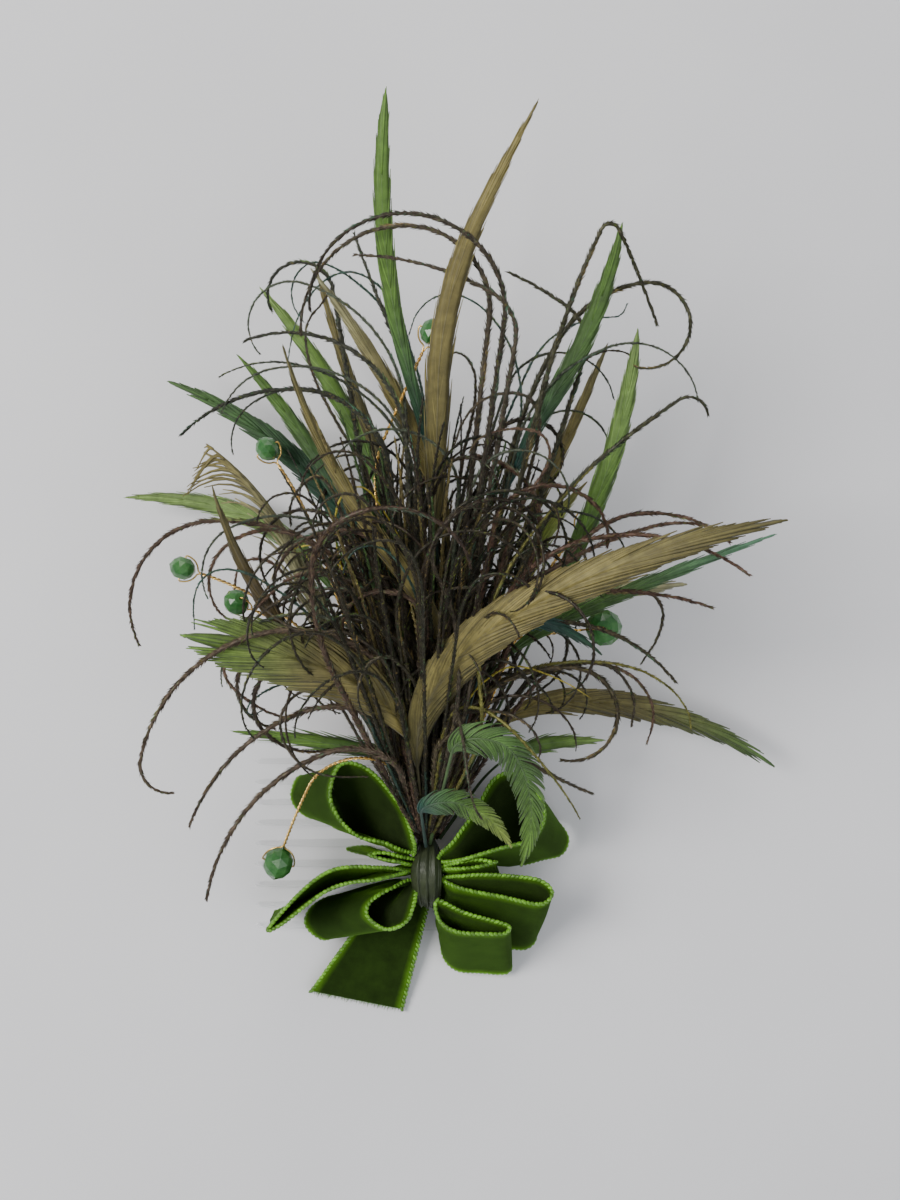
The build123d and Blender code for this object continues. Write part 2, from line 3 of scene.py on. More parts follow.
import bmesh
import bpy
import numpy as np
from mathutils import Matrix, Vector


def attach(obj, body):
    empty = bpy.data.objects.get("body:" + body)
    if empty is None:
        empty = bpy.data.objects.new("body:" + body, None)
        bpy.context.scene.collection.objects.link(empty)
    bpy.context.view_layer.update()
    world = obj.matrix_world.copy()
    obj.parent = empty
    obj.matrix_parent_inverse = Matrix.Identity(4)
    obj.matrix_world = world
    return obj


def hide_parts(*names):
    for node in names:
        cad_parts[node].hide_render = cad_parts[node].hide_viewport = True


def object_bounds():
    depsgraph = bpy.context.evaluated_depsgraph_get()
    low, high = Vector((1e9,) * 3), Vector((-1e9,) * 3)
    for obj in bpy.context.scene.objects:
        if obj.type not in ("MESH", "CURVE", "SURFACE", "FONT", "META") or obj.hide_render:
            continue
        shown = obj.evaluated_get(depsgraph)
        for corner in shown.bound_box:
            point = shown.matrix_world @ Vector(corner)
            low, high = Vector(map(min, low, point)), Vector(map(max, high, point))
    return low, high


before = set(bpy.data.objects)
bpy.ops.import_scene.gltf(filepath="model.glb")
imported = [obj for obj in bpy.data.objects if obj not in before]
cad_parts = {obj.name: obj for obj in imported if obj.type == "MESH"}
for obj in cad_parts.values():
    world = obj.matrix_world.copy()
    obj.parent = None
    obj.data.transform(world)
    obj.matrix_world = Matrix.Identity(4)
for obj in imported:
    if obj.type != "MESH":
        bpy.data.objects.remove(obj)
cad_low, cad_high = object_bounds()

# The looks of a fascinator on a hair comb.  Lengths are in millimetres until a mesh is made, apart
# from those of the floor, the lamps and the materials, which are in metres.
MM = 0.001
HEAD = "headpiece"

# ---------------- camera, light and floor
VIEW_CENTRE = (5.2, 54.5)
VIEW_HEIGHT = 480.0
VIEW_FRAME = 282.0
SENSOR = 36.0
FLOOR_SIZE = 10.0
FLOOR_PLACE = (0, 0.05, -0.0004)
SKY_COLOUR = (0.93, 0.95, 1.0, 1.0)
SKY_STRENGTH = 0.38
# Each lamp's name, place, size, power and colour.
LAMPS = (
    ("key", (-0.60, 0.15, 0.78), 0.45, 9.5, (1.0, 0.98, 0.95)),
    ("fill", (0.45, -0.3, 0.75), 0.9, 3.4, (0.93, 0.96, 1.0)),
    ("rim", (0.1, 0.95, 0.5), 0.6, 3.0, (1.0, 0.97, 0.9)),
)
LAMP_AIM = Vector((0, 0.05, 0.02))

# ---------------- sizes shared with the CAD
KNOT_CENTRE = np.array([0.0, -7.5, 12.3])
KNOT_WIDTH = 7.0
KNOT_LENGTH = 17.0
KNOT_HEIGHT = 16.4
APEX = np.array([0.0, -4.0, 13.0])
STRAND_START = 5.0
BUNDLE_RISE = 20.0
RIBBON_WIDTH = 22.0
LOOP_WIRE = 0.5
LOOP_ROOM = 1.1
GOLDEN_ANGLE = 137.508

# A loop's upper edge seen from above, its height and how far its lower edge leans.  "close" draws the
# lower edge in towards a "fold" point or a "crease" line.
RIBBON_LOOPS = {
    "ribbon_loop_upper_left": dict(
        rim=[(-2.6, -3), (-9.6, 0), (-15.6, 1.6), (-20, 5.4), (-22, 11), (-19.4, 17.6), (-13.4, 17),
             (-8, 11.6), (-4, 5)],
        top=22.6, lean=(-10.3, -0.4), fold=(-21, 8), close=0.4,
    ),
    "ribbon_loop_upper_right": dict(
        rim=[(3, -4.5), (6.5, 1.5), (11, 8), (15, 14.5), (19.5, 16), (23.5, 13.5), (26.5, 7), (24, 1),
             (16, -1.5)],
        top=22.6, lean=(6.8, -7.2), fold=(25.5, 4), close=0.45,
    ),
    "ribbon_loop_middle_left": dict(
        rim=[(-3, -6.8), (-11, -4.8), (-20.6, -5.2), (-28.6, -10.8), (-35.6, -18.6), (-32.6, -18.2),
             (-21, -9.9), (-8.4, -8)],
        top=25.2, lean=(-2, -1.6), crease=[(-8, -6.8), (-33.5, -16.8)], close=0.9,
    ),
    "ribbon_loop_lower_left": dict(
        rim=[(-3, -9.6), (-7.6, -9.8), (-12.6, -12.8), (-13.2, -17), (-8.8, -19.8), (-4, -17)],
        top=21.6, lean=(-15, -4.4),
    ),
    "ribbon_loop_middle_right": dict(
        rim=[(3, -8.6), (9.6, -7), (18, -7.2), (25.4, -8.2), (28.4, -11.4), (25.4, -14), (16.4, -12.4),
             (8.2, -10.6)],
        top=21.2, lean=(-3, -13),
    ),
    "ribbon_loop_lower_right": dict(
        rim=[(2.4, -13.4), (8.5, -15.4), (14.5, -17.4), (18.6, -18.8), (17.5, -20.8), (12, -20.8),
             (6, -20.2), (2.6, -17.4)],
        top=20.6, lean=(1, -12),
    ),
}
# Small folds of the same ribbon, pinched between the loops at the knot.
RIBBON_FOLDS = {
    "ribbon_fold_left": dict(
        rim=[(-2.8, -4.2), (-6.5, -2.7), (-10.5, -2.0), (-13.2, -2.9), (-10, -4.0), (-6, -4.6), (-3, -5.3)],
        top=21.5, lean=(-6, -1),
    ),
    "ribbon_fold_right": dict(
        rim=[(3, -5.4), (7, -4.2), (12, -3.7), (15.6, -4.4), (12.5, -5.6), (7.5, -6.1), (3.2, -6.9)],
        top=20.8, lean=(2, -8),
    ),
}
# How high and how low the ribbon stands at distances from the knot.
PINCH_RADII = (2.6, 14.0, 45.0)
PINCH_TOPS = (16.5, 27.0, 27.0)
PINCH_FEET_RADII = (2.6, 11.0, 15.0, 45.0)
PINCH_FEET = (8.5, 4.4, 0.0, 0.0)
TAIL_CORNERS = np.array([(-13.0, -17.0, 5.3), (1.0, -12.5, 5.5), (-27.2, -37.1, 1.2), (-6.1, -41.4, 0.8)])

# A strand leaves the apex at a bearing and a rise, and each of its bends is a radius, a turn and the side
# that it turns to.
BEADS = {
    "lower_left": dict(aim=(-16, 38), reach=24, bends=[(11, 144, 180), (200, 5, 180)], size=8.0, tilt=10),
    "right": dict(aim=(0, 27), reach=36, bends=[(20, 78, 0), (200, 5, 0)], size=8.0, tilt=90),
    "left": dict(aim=(-21, 16), reach=30, bends=[(70, 28, 180), (60, 22, 180)], size=6.0, tilt=0),
    "top": dict(aim=(-7.5, 19), reach=86, bends=[(25, 30, 0), (600, 2, 0)], size=6.0, tilt=0),
    "upper_left": dict(aim=(-19, 4), reach=76, bends=[(70, 16, 180)], size=6.0, tilt=0),
    "inner_left": dict(aim=(-19, 20), reach=28, bends=[(60, 24, 180), (60, 20, 180)], size=6.0, tilt=60),
    "inner_right": dict(aim=(22, 5), reach=60, bends=[(60, 20, 0)], size=6.0, tilt=0),
}

# ---------------- feathers
FEATHER_SEED = 100
QUILL_HALF = 0.42
BARB_STEPS = 9
# Colours of dyed feather, from the quill to the tip.
EMERALD = (0.016, 0.056, 0.022)
TEAL = (0.010, 0.050, 0.040)
GREEN = (0.062, 0.132, 0.030)
BRIGHT = (0.100, 0.200, 0.030)
LIME = (0.190, 0.300, 0.080)
YELLOW = (0.270, 0.350, 0.065)
GOLD = (0.185, 0.154, 0.048)
OLIVE = (0.100, 0.088, 0.030)
BROWN = (0.090, 0.066, 0.028)
PALE = (0.270, 0.260, 0.145)

# "vane" is how far from the apex the blade begins, "barb" a barb's length, "fray" how unevenly the barbs
# end, "gap" their spacing, "thick" half their width, "web" the share of the blade's width that is closed
# and "hook" a drift of the barbs' tips.  "late" moves the widest place towards the tip, "full" below 0.75
# keeps the tip broad and "blunt" ends it in barbs of uneven length.
FEATHERS = {
    "right_pale": dict(
        aim=(-11, 25), reach=26, bends=[(28, 75, 0), (120, 22, 0)], vane=38, width=6.5,
        tint=(OLIVE, PALE, PALE), barb=22, fray=0.35, web=0.5, gap=0.12, thick=0.38, slot="olive_feather"),
    "tall_green": dict(
        aim=(2, 20), reach=70, bends=[(130, 18, 180), (150, 20, 0), (600, 0.8, 0)], vane=100, width=3.6,
        tint=(TEAL, BRIGHT, BRIGHT), barb=16, fray=0.06, late=2.2, full=0.5),
    "tall_olive": dict(
        aim=(1.5, 22), reach=110, bends=[(96, 25, 0), (600, 2, 0)], vane=85, width=5.2,
        tint=(OLIVE, GOLD, GOLD), barb=26, fray=0.15, full=0.8, slot="olive_feather"),
    "right_lime": dict(
        aim=(25, 17), reach=80, bends=[(150, 19, 180)], vane=68, width=4.4,
        tint=(GREEN, BRIGHT, LIME), barb=15, fray=0.1, late=1.6, full=0.55),
    "right_green": dict(
        aim=(11, 19), reach=70, bends=[(120, 20, 0), (110, 20, 180)], vane=95, width=4.0,
        tint=(TEAL, GREEN, BRIGHT), barb=14, fray=0.14, late=1.7, full=0.6),
    "right_olive": dict(
        aim=(16, 9), reach=60, bends=[(200, 9, 0), (600, 3, 180)], vane=80, width=2.8,
        tint=(OLIVE, GOLD, OLIVE), barb=16, fray=0.1, full=0.6, slot="olive_feather"),
    "upper_left_olive": dict(
        aim=(5, 18), reach=60, bends=[(75, 30, 180), (200, 12, 180)], vane=80, width=4.0,
        tint=(GOLD, GOLD, PALE), barb=16, fray=0.12, full=0.7, slot="olive_feather"),
    "upper_left_thin": dict(
        aim=(-3, 8), reach=55, bends=[(120, 19, 180), (300, 8, 0)], vane=85, width=2.6,
        tint=(OLIVE, OLIVE, GOLD), barb=14, fray=0.12, full=0.7, slot="olive_feather"),
    "upper_left_green": dict(
        aim=(-5, 5), reach=60, bends=[(100, 20, 180), (150, 16, 180)], vane=85, width=4.0,
        tint=(GREEN, BRIGHT, LIME), barb=15, fray=0.1, late=1.4, full=0.65),
    "left_lime": dict(
        aim=(-11, 4), reach=55, bends=[(110, 22, 180), (150, 10, 180)], vane=80, width=3.5,
        tint=(TEAL, GREEN, BRIGHT), barb=15, fray=0.1, late=1.3, full=0.65),
    "left_emerald": dict(
        aim=(-9, 0), reach=50, bends=[(70, 36, 180), (90, 24, 180)], vane=70, width=4.6,
        tint=(TEAL, EMERALD, GREEN), barb=14, fray=0.4, web=0.5, gap=0.14, thick=0.36),
    "front_olive": dict(
        aim=(10, 36), reach=36, bends=[(50, 52, 200), (130, 22, 10)], vane=48, width=3.8,
        tint=(GOLD, GOLD, OLIVE), barb=20, fray=0.2, slot="olive_feather"),
    "left_split": dict(
        aim=(-23, 19), reach=80, bends=[(60, 28, 185)], vane=55, width=4.0,
        tint=(PALE, PALE, GOLD), barb=22, fray=0.8, hook=(-5.0, -13.0, -3.0), web=0.62, thick=0.32,
        slot="olive_feather"),
    "left_brown": dict(
        aim=(-22, 27), reach=32, bends=[(50, 22, 180), (100, 30, 0)], vane=60, width=3.0,
        tint=(BROWN, BROWN, OLIVE), barb=16, fray=0.15, slot="olive_feather"),
    "left_level": dict(
        aim=(-19, -2), reach=56, bends=[(42, 58, 180), (80, 15, 180)], vane=70, width=4.4,
        tint=(GREEN, LIME, LIME), barb=16, fray=0.2, late=1.3, full=0.7),
    "left_fan": dict(
        aim=(-5, 40), reach=30, bends=[(30, 70, 190), (200, 8, 180)], vane=45, width=11.0,
        tint=(GOLD, OLIVE, BRIGHT), barb=22, fray=0.35, web=0.4, blunt=0.3, late=1.7, full=0.45,
        gap=0.11, thick=0.42),
    "right_broad": dict(
        aim=(-5, 42), reach=30, bends=[(50, 59, 0), (150, 21.6, -30)], vane=40, width=7.5,
        tint=(OLIVE, GOLD, OLIVE), barb=26, fray=0.4, web=0.45, gap=0.11, thick=0.38, slot="olive_feather"),
    "right_teal": dict(
        aim=(14, 26.5), reach=33, bends=[(45, 48, 0), (600, 4.7, 0)], vane=60, width=3.0,
        tint=(GREEN, GREEN, (0.09, 0.21, 0.13)), barb=16, fray=0.3),
    "right_dark_tip": dict(
        aim=(15, 35), reach=60, bends=[(10, 100, -10), (30, 25, 0)], vane=64, width=3.0,
        tint=(TEAL, TEAL, EMERALD), barb=8, fray=0.4),
    "lower_right_olive": dict(
        aim=(20, -1), reach=18, bends=[(28, 70, 0), (80, 36, -14)], vane=40, width=4.6,
        tint=(GOLD, OLIVE, GREEN), barb=18, fray=0.6, web=0.45, gap=0.13, thick=0.36, slot="olive_feather"),
    "lower_right_green": dict(
        aim=(35, 10), reach=20, bends=[(25, 50, 0), (200, 3, 0)], vane=32, width=3.4,
        tint=(GREEN, BRIGHT, LIME), barb=10, fray=0.5),
    "front_palm": dict(
        aim=(12, 52), reach=44, bends=[(7, 150, 0), (50, 40, 0)], vane=46, width=7.0,
        tint=(GREEN, GREEN, BRIGHT), barb=7, fray=0.25, gap=0.3, web=0),
    "front_small": dict(
        aim=(-5, 62), reach=26, bends=[(5, 140, 0), (40, 30, 0)], vane=28, width=5.0,
        tint=(TEAL, BRIGHT, YELLOW), barb=5.5, fray=0.25, gap=0.28, web=0),
    "lower_left_green": dict(
        aim=(-12, 12), reach=16, bends=[(12, 66, 180), (300, 6, 180)], vane=26, width=3.6,
        tint=(EMERALD, BRIGHT, BRIGHT), barb=14, fray=0.7),
    "left_broad": dict(
        aim=(-3, 15), reach=50, bends=[(60, 35, 180)], vane=52, width=7.0,
        tint=(EMERALD, EMERALD, GREEN), barb=18, fray=0.2),
    "right_yellow": dict(
        aim=(19, 7), reach=66, bends=[(60, 26, 0)], vane=66, width=3.6,
        tint=(GOLD, YELLOW, GOLD), barb=12, fray=0.3, slot="olive_feather"),
}

# ---------------- strands
HERL_SEED = 11
CURL_SEED = 21
STEM_SEED = 5
# A strand is slimmer and darker up to these distances from its root.
SLIM_ROOT = 26
DARK_ROOT = 32
# Each strand is its aim, its reach and its bends.
HERLS = {
    "crown": [
        ((8, 28), 130, [(19.5, 190, 180)]),
        ((6.5, 21), 126, [(17, 90, 180), (21, 100, 180)]),
        ((9.5, 21.5), 122, [(10, 70, 180), (60, 28, 180)]),
        ((8.5, 17), 96, [(8, 240, 0)]),
    ],
    "upper_left": [
        ((-9, 14), 130, [(7, 200, 180)]),
        ((-0.5, 17), 88, [(90, 22, 180), (300, 4, 0)]),
        ((-2.5, 22.5), 100, [(24, 110, 180)]),
        ((-5, 21), 92, [(20, 80, 180), (32, 50, 180)]),
    ],
    "upper_right": [
        ((11.5, 16), 92, [(90, 20, 0), (24, 50, 0), (9, 205, 0)]),
        ((13.5, 21), 110, [(200, 11, 0), (2, 130, 0), (200, 6, 0)]),
        ((17, 17.5), 120, [(10, 70, 180), (60, 14, 180)]),
        ((17.5, 25), 74, [(60, 30, 0), (200, 6, 0), (4, 120, 0)]),
    ],
    "right": [
        ((16, 30), 66, [(28, 58, 0), (40, 50, 0)]),
        ((20, 30), 58, [(24, 62, 0), (60, 24, 0)]),
        ((11, 29), 86, [(12, 180, 0)]),
        ((18.5, 20), 80, [(14, 150, 180), (8, 90, 180)]),
    ],
    "left": [
        ((-8, 23), 50, [(38, 85, 180), (18, 115, 180)]),
        ((-24, 40.5), 60, [(80, 22, 0), (16, 170, 0)]),
        ((-4, 28), 70, [(14, 200, 180)]),
        ((0.5, 34.5), 64, [(9, 230, 180)]),
    ],
    "lower_left": [
        ((-8.5, 34.5), 44, [(24, 95, 180), (34, 66, 180), (6, 110, 180)]),
        ((-12, 35), 32, [(16, 100, 180), (42, 50, 180)]),
        ((-15, 42.5), 28, [(13, 100, 180), (42, 58, 180)]),
        ((-16, 33), 50, [(13, 200, 180), (16, 60, 180)]),
        ((-21, 30.5), 56, [(12, 230, 180)]),
    ],
    "lower_right": [
        ((10, 32), 30, [(28, 80, 0), (10, 190, 0)]),
        ((5, 45), 36, [(8, 135, 0), (100, 16, 180)]),
        ((7, 33), 44, [(24, 85, 0), (32, 50, 0)]),
    ],
}
HERL_TINTS = {
    "crown": (0.044, 0.036, 0.026),
    "upper_left": (0.030, 0.032, 0.024),
    "upper_right": (0.036, 0.036, 0.021),
    "right": (0.085, 0.050, 0.036),
    "left": (0.066, 0.044, 0.032),
    "lower_left": (0.060, 0.044, 0.032),
    "lower_right": (0.056, 0.046, 0.028),
    # The core tint, also given to the many strands in the middle, is the herls' own dark colour darkened
    # further as painted shade of the dense middle of the plume.
    "core": (0.016, 0.015, 0.009),
}
# Painted highlights of iridescent colour, added on one side of a strand.
GLEAMS = [
    (0.16, 0.20, 0.03), (0.22, 0.16, 0.05), (0.03, 0.13, 0.08), (0.10, 0.09, 0.07), (0.08, 0.16, 0.03)]
# Thin strands that curl over the upper half of the plume.
FINE_CURLS = [
    ((-1, 20), 84, [(32, 80, 180), (22, 40, 180)]),
    ((-2, 21.5), 92, [(24, 100, 180), (14, 60, 180)]),
    ((-2.5, 18.5), 104, [(30, 70, 180), (9, 150, 180)]),
    ((-6, 15), 92, [(18, 120, 180), (10, 70, 180)]),
    ((-9, 24), 66, [(22, 110, 180), (11, 90, 180)]),
    ((12, 19), 98, [(30, 60, 0), (14, 100, 0)]),
    ((9, 26), 70, [(20, 90, 0), (12, 80, 0)]),
    ((5, 24), 88, [(14, 170, 180)]),
    ((-13, 30), 52, [(18, 120, 180), (12, 60, 180)]),
    ((8, 15), 84, [(120, 12, 0), (12, 150, 0)]),
    ((12, 12), 78, [(90, 14, 0), (9, 190, 0)]),
    ((5, 28), 76, [(60, 20, 0), (10, 170, 0)]),
]
# Strands in the middle of the plume, where they have room, and how many go in one piece.
EXTRA_STRANDS = 245
STRANDS_EACH = 50
PALE_SHAFT = (0.110, 0.092, 0.036)
GREEN_SHAFT = (0.030, 0.062, 0.018)
PLUME_CENTRE = (-1, 46)
PLUME_RADII = (40, 56)
BOX_ROOM = 1.5
TABLE_ROOM = 3
BEAD_ROOM = 6.5
# Tints of the single curls that stand clear of the plume, then each curl's tint, thickness, height of
# its tip and outline from above.
RUST = (0.090, 0.056, 0.040)
DUSK = (0.046, 0.038, 0.027)
TEAL_HERL = (0.030, 0.062, 0.050)
GREEN_GOLD = (0.120, 0.120, 0.030)
TRACED = {
    "left": [
        (RUST, 1.1, 44, [(-13.7, 44.3), (-18.4, 57.9), (-24.5, 67.5), (-32.5, 70), (-39.6, 68.4),
            (-44.8, 64.1), (-46.5, 58.3), (-44.9, 52.6), (-41.1, 49.7)]),
        (TEAL_HERL, 0.7, 40, [(-13.9, 30.4), (-21, 35.5), (-28.2, 37), (-33.3, 35.7), (-37.6, 32.8),
            (-38.7, 30.4), (-37.1, 29.7), (-35, 30.8)]),
        (DUSK, 0.75, 42, [(-13.8, 22.7), (-16.6, 28.2), (-19.4, 33.2), (-24.1, 35.9), (-28.8, 33.8),
            (-31.4, 29.6), (-30.6, 24.3), (-27.3, 19.5), (-21.6, 16.6), (-12.5, 16.6)]),
        (RUST, 1, 30, [(-21.8, 38.9), (-36.7, 44), (-43.4, 42.1), (-45.1, 39.7), (-43.5, 35.8), (-39, 32.3),
            (-34.1, 29.4), (-29.2, 28.4), (-26.8, 30.8)]),
        (DUSK, 1.15, 50, [(-1.4, 44.42), (-8.5, 54.5), (-15.5, 56.9), (-24.8, 56.9), (-31.4, 54.1),
            (-36.7, 49.8)]),
        (RUST, 1.1, 46, [(-8.8, 41.4), (-11, 49.2), (-16.7, 58.8), (-23.7, 60.7), (-29.8, 58.8),
            (-34.6, 54), (-38.5, 49.8)]),
        (DUSK, 1.1, 40, [(-12.4, 51.07), (-15.2, 60.9), (-18, 72), (-19.8, 78.2), (-23.1, 81.8),
            (-26.9, 79.1), (-29.4, 74.8), (-29, 70.5)]),
        (TEAL_HERL, 0.7, 56, [(-0.4, 46.4), (-1.3, 54.1), (-4, 60.6), (-8.6, 65.7), (-13.7, 65.7),
            (-16.5, 62.4), (-17, 59.6)]),
        (TEAL_HERL, 0.7, 52, [(-18.6, 44.5), (-25.1, 52.1), (-31.5, 56.9), (-37.9, 60.6), (-43.4, 61.1),
            (-47.1, 58.7), (-48.6, 54.1), (-48.3, 48.4)]),
        (RUST, 1, 30, [(-11.8, 38.9), (-19.1, 46.5), (-26.4, 52), (-31.2, 60.9), (-36.1, 63.9), (-41, 62.9),
            (-42.3, 58), (-41.9, 52.5)]),
        (DUSK, 1, 54, [(-6.1, 37.3), (-10.7, 44.6), (-17.6, 48.4), (-24.5, 47.1), (-30.1, 49.9),
            (-34, 53.1)]),
    ],
    "right": [
        (RUST, 1.25, 40, [(17.3, 49), (27.2, 60.1), (33.4, 67.4), (40, 72), (47.2, 73.5), (55.5, 72.5),
            (61.8, 69.9), (65.6, 66.8)]),
        (RUST, 1.2, 44, [(15.08, 51.1), (20.2, 57.4), (27.9, 61.6), (35.6, 65.7), (43.2, 68.8), (52, 71.1),
            (58.7, 70.7), (64.6, 68.8)]),
        (GREEN_GOLD, 0.8, 42, [(13, 35.3), (21.3, 39.6), (30.6, 41.3), (38.3, 41.3), (46, 39.8),
            (52.7, 35.7), (56.4, 30.5), (56.9, 26.8)]),
        (DUSK, 1, 34, [(20.7, 36), (30.1, 40.4), (38.9, 41.1), (43, 38), (45.7, 32.7), (44.8, 26.8)]),
        (RUST, 1, 28, [(24.19, 36.8), (34.2, 41.3), (43.7, 39.3), (48.4, 35.1), (50.6, 29.2),
            (48.8, 22.7)]),
        (DUSK, 1, 34, [(23.9, 51.07), (36.5, 57.5), (46.9, 58), (52, 53.3), (51, 46.9), (46.9, 40.5)]),
        (GREEN_GOLD, 0.8, 52, [(4.5, 31), (10.7, 32.3), (16.7, 28.9), (22.8, 22.4), (28.9, 14.8),
            (32.5, 8.6)]),
        (DUSK, 0.9, 54, [(5.6, 34.22), (7.4, 28.8), (8.4, 22), (9.1, 16), (10.4, 11), (11.9, 8.7)]),
        (DUSK, 0.9, 48, [(6.6, 29.8), (12.8, 31.3), (18.9, 30.2), (22.9, 27.2), (24.5, 23.2), (24, 21)]),
        (GREEN_GOLD, 0.8, 58, [(12.7, 26.76), (10.6, 41.2), (14.6, 56.3), (19.6, 64.8), (24.5, 71.3),
            (29.5, 76.8), (34.6, 81.9)]),
        (DUSK, 0.9, 56, [(8.66, 30.7), (10.7, 46.2), (11.6, 56.3), (9.6, 57.3), (4.6, 56.8), (1.1, 55.8),
            (-1, 53.3)]),
        (DUSK, 1, 60, [(7.6, 36), (6.1, 51.3), (3.6, 57.3), (1.1, 62.3), (2.6, 68.7), (6.6, 73.2),
            (11.5, 73.7), (15, 71.3)]),
    ],
    "top": [
        (TEAL_HERL, 0.7, 46, [(17.7, 80.8), (20.4, 90.9), (20.6, 100.2), (18.2, 108.8), (13.4, 115.7),
            (7.3, 119.5), (1.9, 119), (-2.1, 115.4), (-3.5, 110.8)]),
        (TEAL_HERL, 0.75, 40, [(1.1, 88.1), (-1.7, 105.3), (-5.8, 113.3), (-9.8, 118.6), (-16, 123.9),
            (-20.7, 126.5), (-24.8, 127.4), (-28.6, 123.7), (-29, 118.3), (-26.3, 114.3)]),
        (DUSK, 0.95, 44, [(7.4, 84.4), (10.4, 95), (10.9, 102.9), (8.3, 106.9), (5, 107.3), (3.3, 104.2)]),
        (DUSK, 1, 52, [(21.6, 80.4), (24.5, 90.3), (23, 96.7), (18.6, 98), (12.6, 97.1), (8, 92.5),
            (6, 86.6)]),
        (DUSK, 0.9, 42, [(-11.4, 81), (-17.5, 89.7), (-23.5, 100.5), (-25.7, 107.8), (-25.7, 113.8),
            (-22, 118), (-20, 121.6)]),
        (TEAL_HERL, 0.75, 38, [(15.1, 88.3), (19.9, 99.8), (24, 108.5), (29.4, 113.1), (36.9, 115.6),
            (42.1, 115.4), (43.6, 118.7)]),
        (DUSK, 0.8, 44, [(21.9, 87.8), (28.6, 99.1), (32.5, 104.9), (37.9, 107.8), (43.3, 107.3),
            (45.5, 104.2)]),
        (RUST, 0.9, 58, [(18.7, 73.3), (26.6, 83.1), (25.1, 88.9), (19.8, 90), (14.5, 89.3), (10.5, 87.4),
            (9.2, 84.9)]),
        (TEAL_HERL, 0.7, 44, [(-1.6, 98.2), (-4.3, 114.3), (-9.7, 122.1), (-16.4, 125.2), (-23.2, 121.7),
            (-28, 113.6), (-29.4, 105.6)]),
    ],
}
CURLS = {
    "inner": [
        (0, 10, 19), (-9, 38, 34), (-19, 62, 43), (-19.5, 76, 46), (-13.1, 79.8, 47), (-7.7, 71.7, 47),
        (-3, 63.1, 47), (-1.7, 56.7, 46), (-4.5, 49.1, 44)],
    "left": [
        (0, 10, 19), (-8, 35, 33), (-15, 55, 39), (-20.9, 65.8, 40), (-27.5, 66.5, 39), (-31.8, 63.2, 38),
        (-33.6, 58.9, 37)],
    "right": [
        (0, 9, 20), (4, 22, 33), (9, 34, 41), (16, 40, 44), (21, 40.6, 44), (30, 37, 42), (35.6, 33.3, 40)],
}
# Lime-gold of the fine curls: partly the strands' own gilt colour, partly a painted highlight of a herl's
# edge catching the light.
CURL_GILT_AND_HIGHLIGHT = (0.420, 0.360, 0.050)
CORE_TRIES = 150
CORE_HALF_ANGLE = 27.0
CORE_RISE = 26.0
STEMS = 72
STEM_START = 3.0
STEM_HALF_ANGLE = 17
STEM_TINTS = [
    (0.02, 0.017, 0.011), (0.008, 0.028, 0.024), (0.06, 0.05, 0.02), (0.014, 0.014, 0.01),
    (0.10, 0.085, 0.04)]

# ---------------- wires, ribbon and tape
WIRE_STEP = 0.3
WIRE_RADIUS = 0.19
WIRE_HINT = np.array([0.23, 0.31, 0.92])
TWIST_RADIUS = 0.21
TWIST_PITCH = 2.3
VELVET_FACE = np.array([0.015, 0.033, 0.0045])
VELVET_BACK = np.array([0.013, 0.022, 0.006])
LIME_EDGE = np.array([0.125, 0.310, 0.020])
RIBBON_ROWS = 31
RIBBON_THICKNESS = 0.55
LOOP_COLUMNS = 150
BORDER_ROWS = 2.2
PICOT_SEED = 40
PICOT_STEP = 1.0
TAIL_SEED = 60
TAIL_COLUMNS = 44
TAIL_THICKNESS = 0.6
KNOT_SEED = 77
KNOT_ROWS = 33
KNOT_COLUMNS = 96
TAPE_THICKNESS = 0.45


# ---------------- lines in space
def unit(v):
    return v / np.maximum(np.linalg.norm(v, axis=-1, keepdims=True), 1e-9)


def heading(bearing, rise):
    b = math.radians(bearing)
    r = math.radians(rise)
    return np.array([math.cos(r) * math.sin(b), math.cos(r) * math.cos(b), math.sin(r)])


def side_of(direction):
    return unit(np.cross(direction, [0.0, 0.0, 1.0]))


def interp3(place, far, table):
    """Rows of a table, such as points, at distances along a line."""
    return np.stack([np.interp(place, far, table[:, k]) for k in range(3)], axis=-1)


def route(aim, reach, bends, start=STRAND_START):
    """A strand as a list of runs: (origin, direction, bend direction, radius, length)."""
    direction = heading(*aim)
    runs = [(APEX + direction * start, direction, side_of(direction), None, reach - start)]
    point = APEX + direction * reach
    for radius, turn, roll in bends:
        side = side_of(direction)
        up = np.cross(side, direction)
        toward = math.cos(math.radians(roll)) * side + math.sin(math.radians(roll)) * up
        angle = math.radians(turn)
        runs.append((point, direction, toward, radius, radius * angle))
        point, direction = on_run(runs[-1], radius * angle)
    return runs


def on_run(run, distance):
    origin, direction, toward, radius, _ = run
    if radius is None:
        return origin + direction * distance, direction
    angle = distance / radius
    point = origin + radius * math.sin(angle) * direction + radius * (1 - math.cos(angle)) * toward
    return point, math.cos(angle) * direction + math.sin(angle) * toward


def route_of(spec):
    return route(spec["aim"], spec["reach"], spec["bends"])


def length_of(runs):
    return sum(run[4] for run in runs)


def on_route(runs, distance):
    for run in runs[:-1]:
        if distance <= run[4]:
            return on_run(run, distance)
        distance -= run[4]
    return on_run(runs[-1], distance)


def line(runs, step):
    """Distances, points and directions along a strand."""
    count = max(4, int(length_of(runs) / step))
    far = np.linspace(0, length_of(runs), count + 1)
    found = [on_route(runs, d) for d in far]
    return far, np.array([p for p, _ in found]), np.array([d for _, d in found])


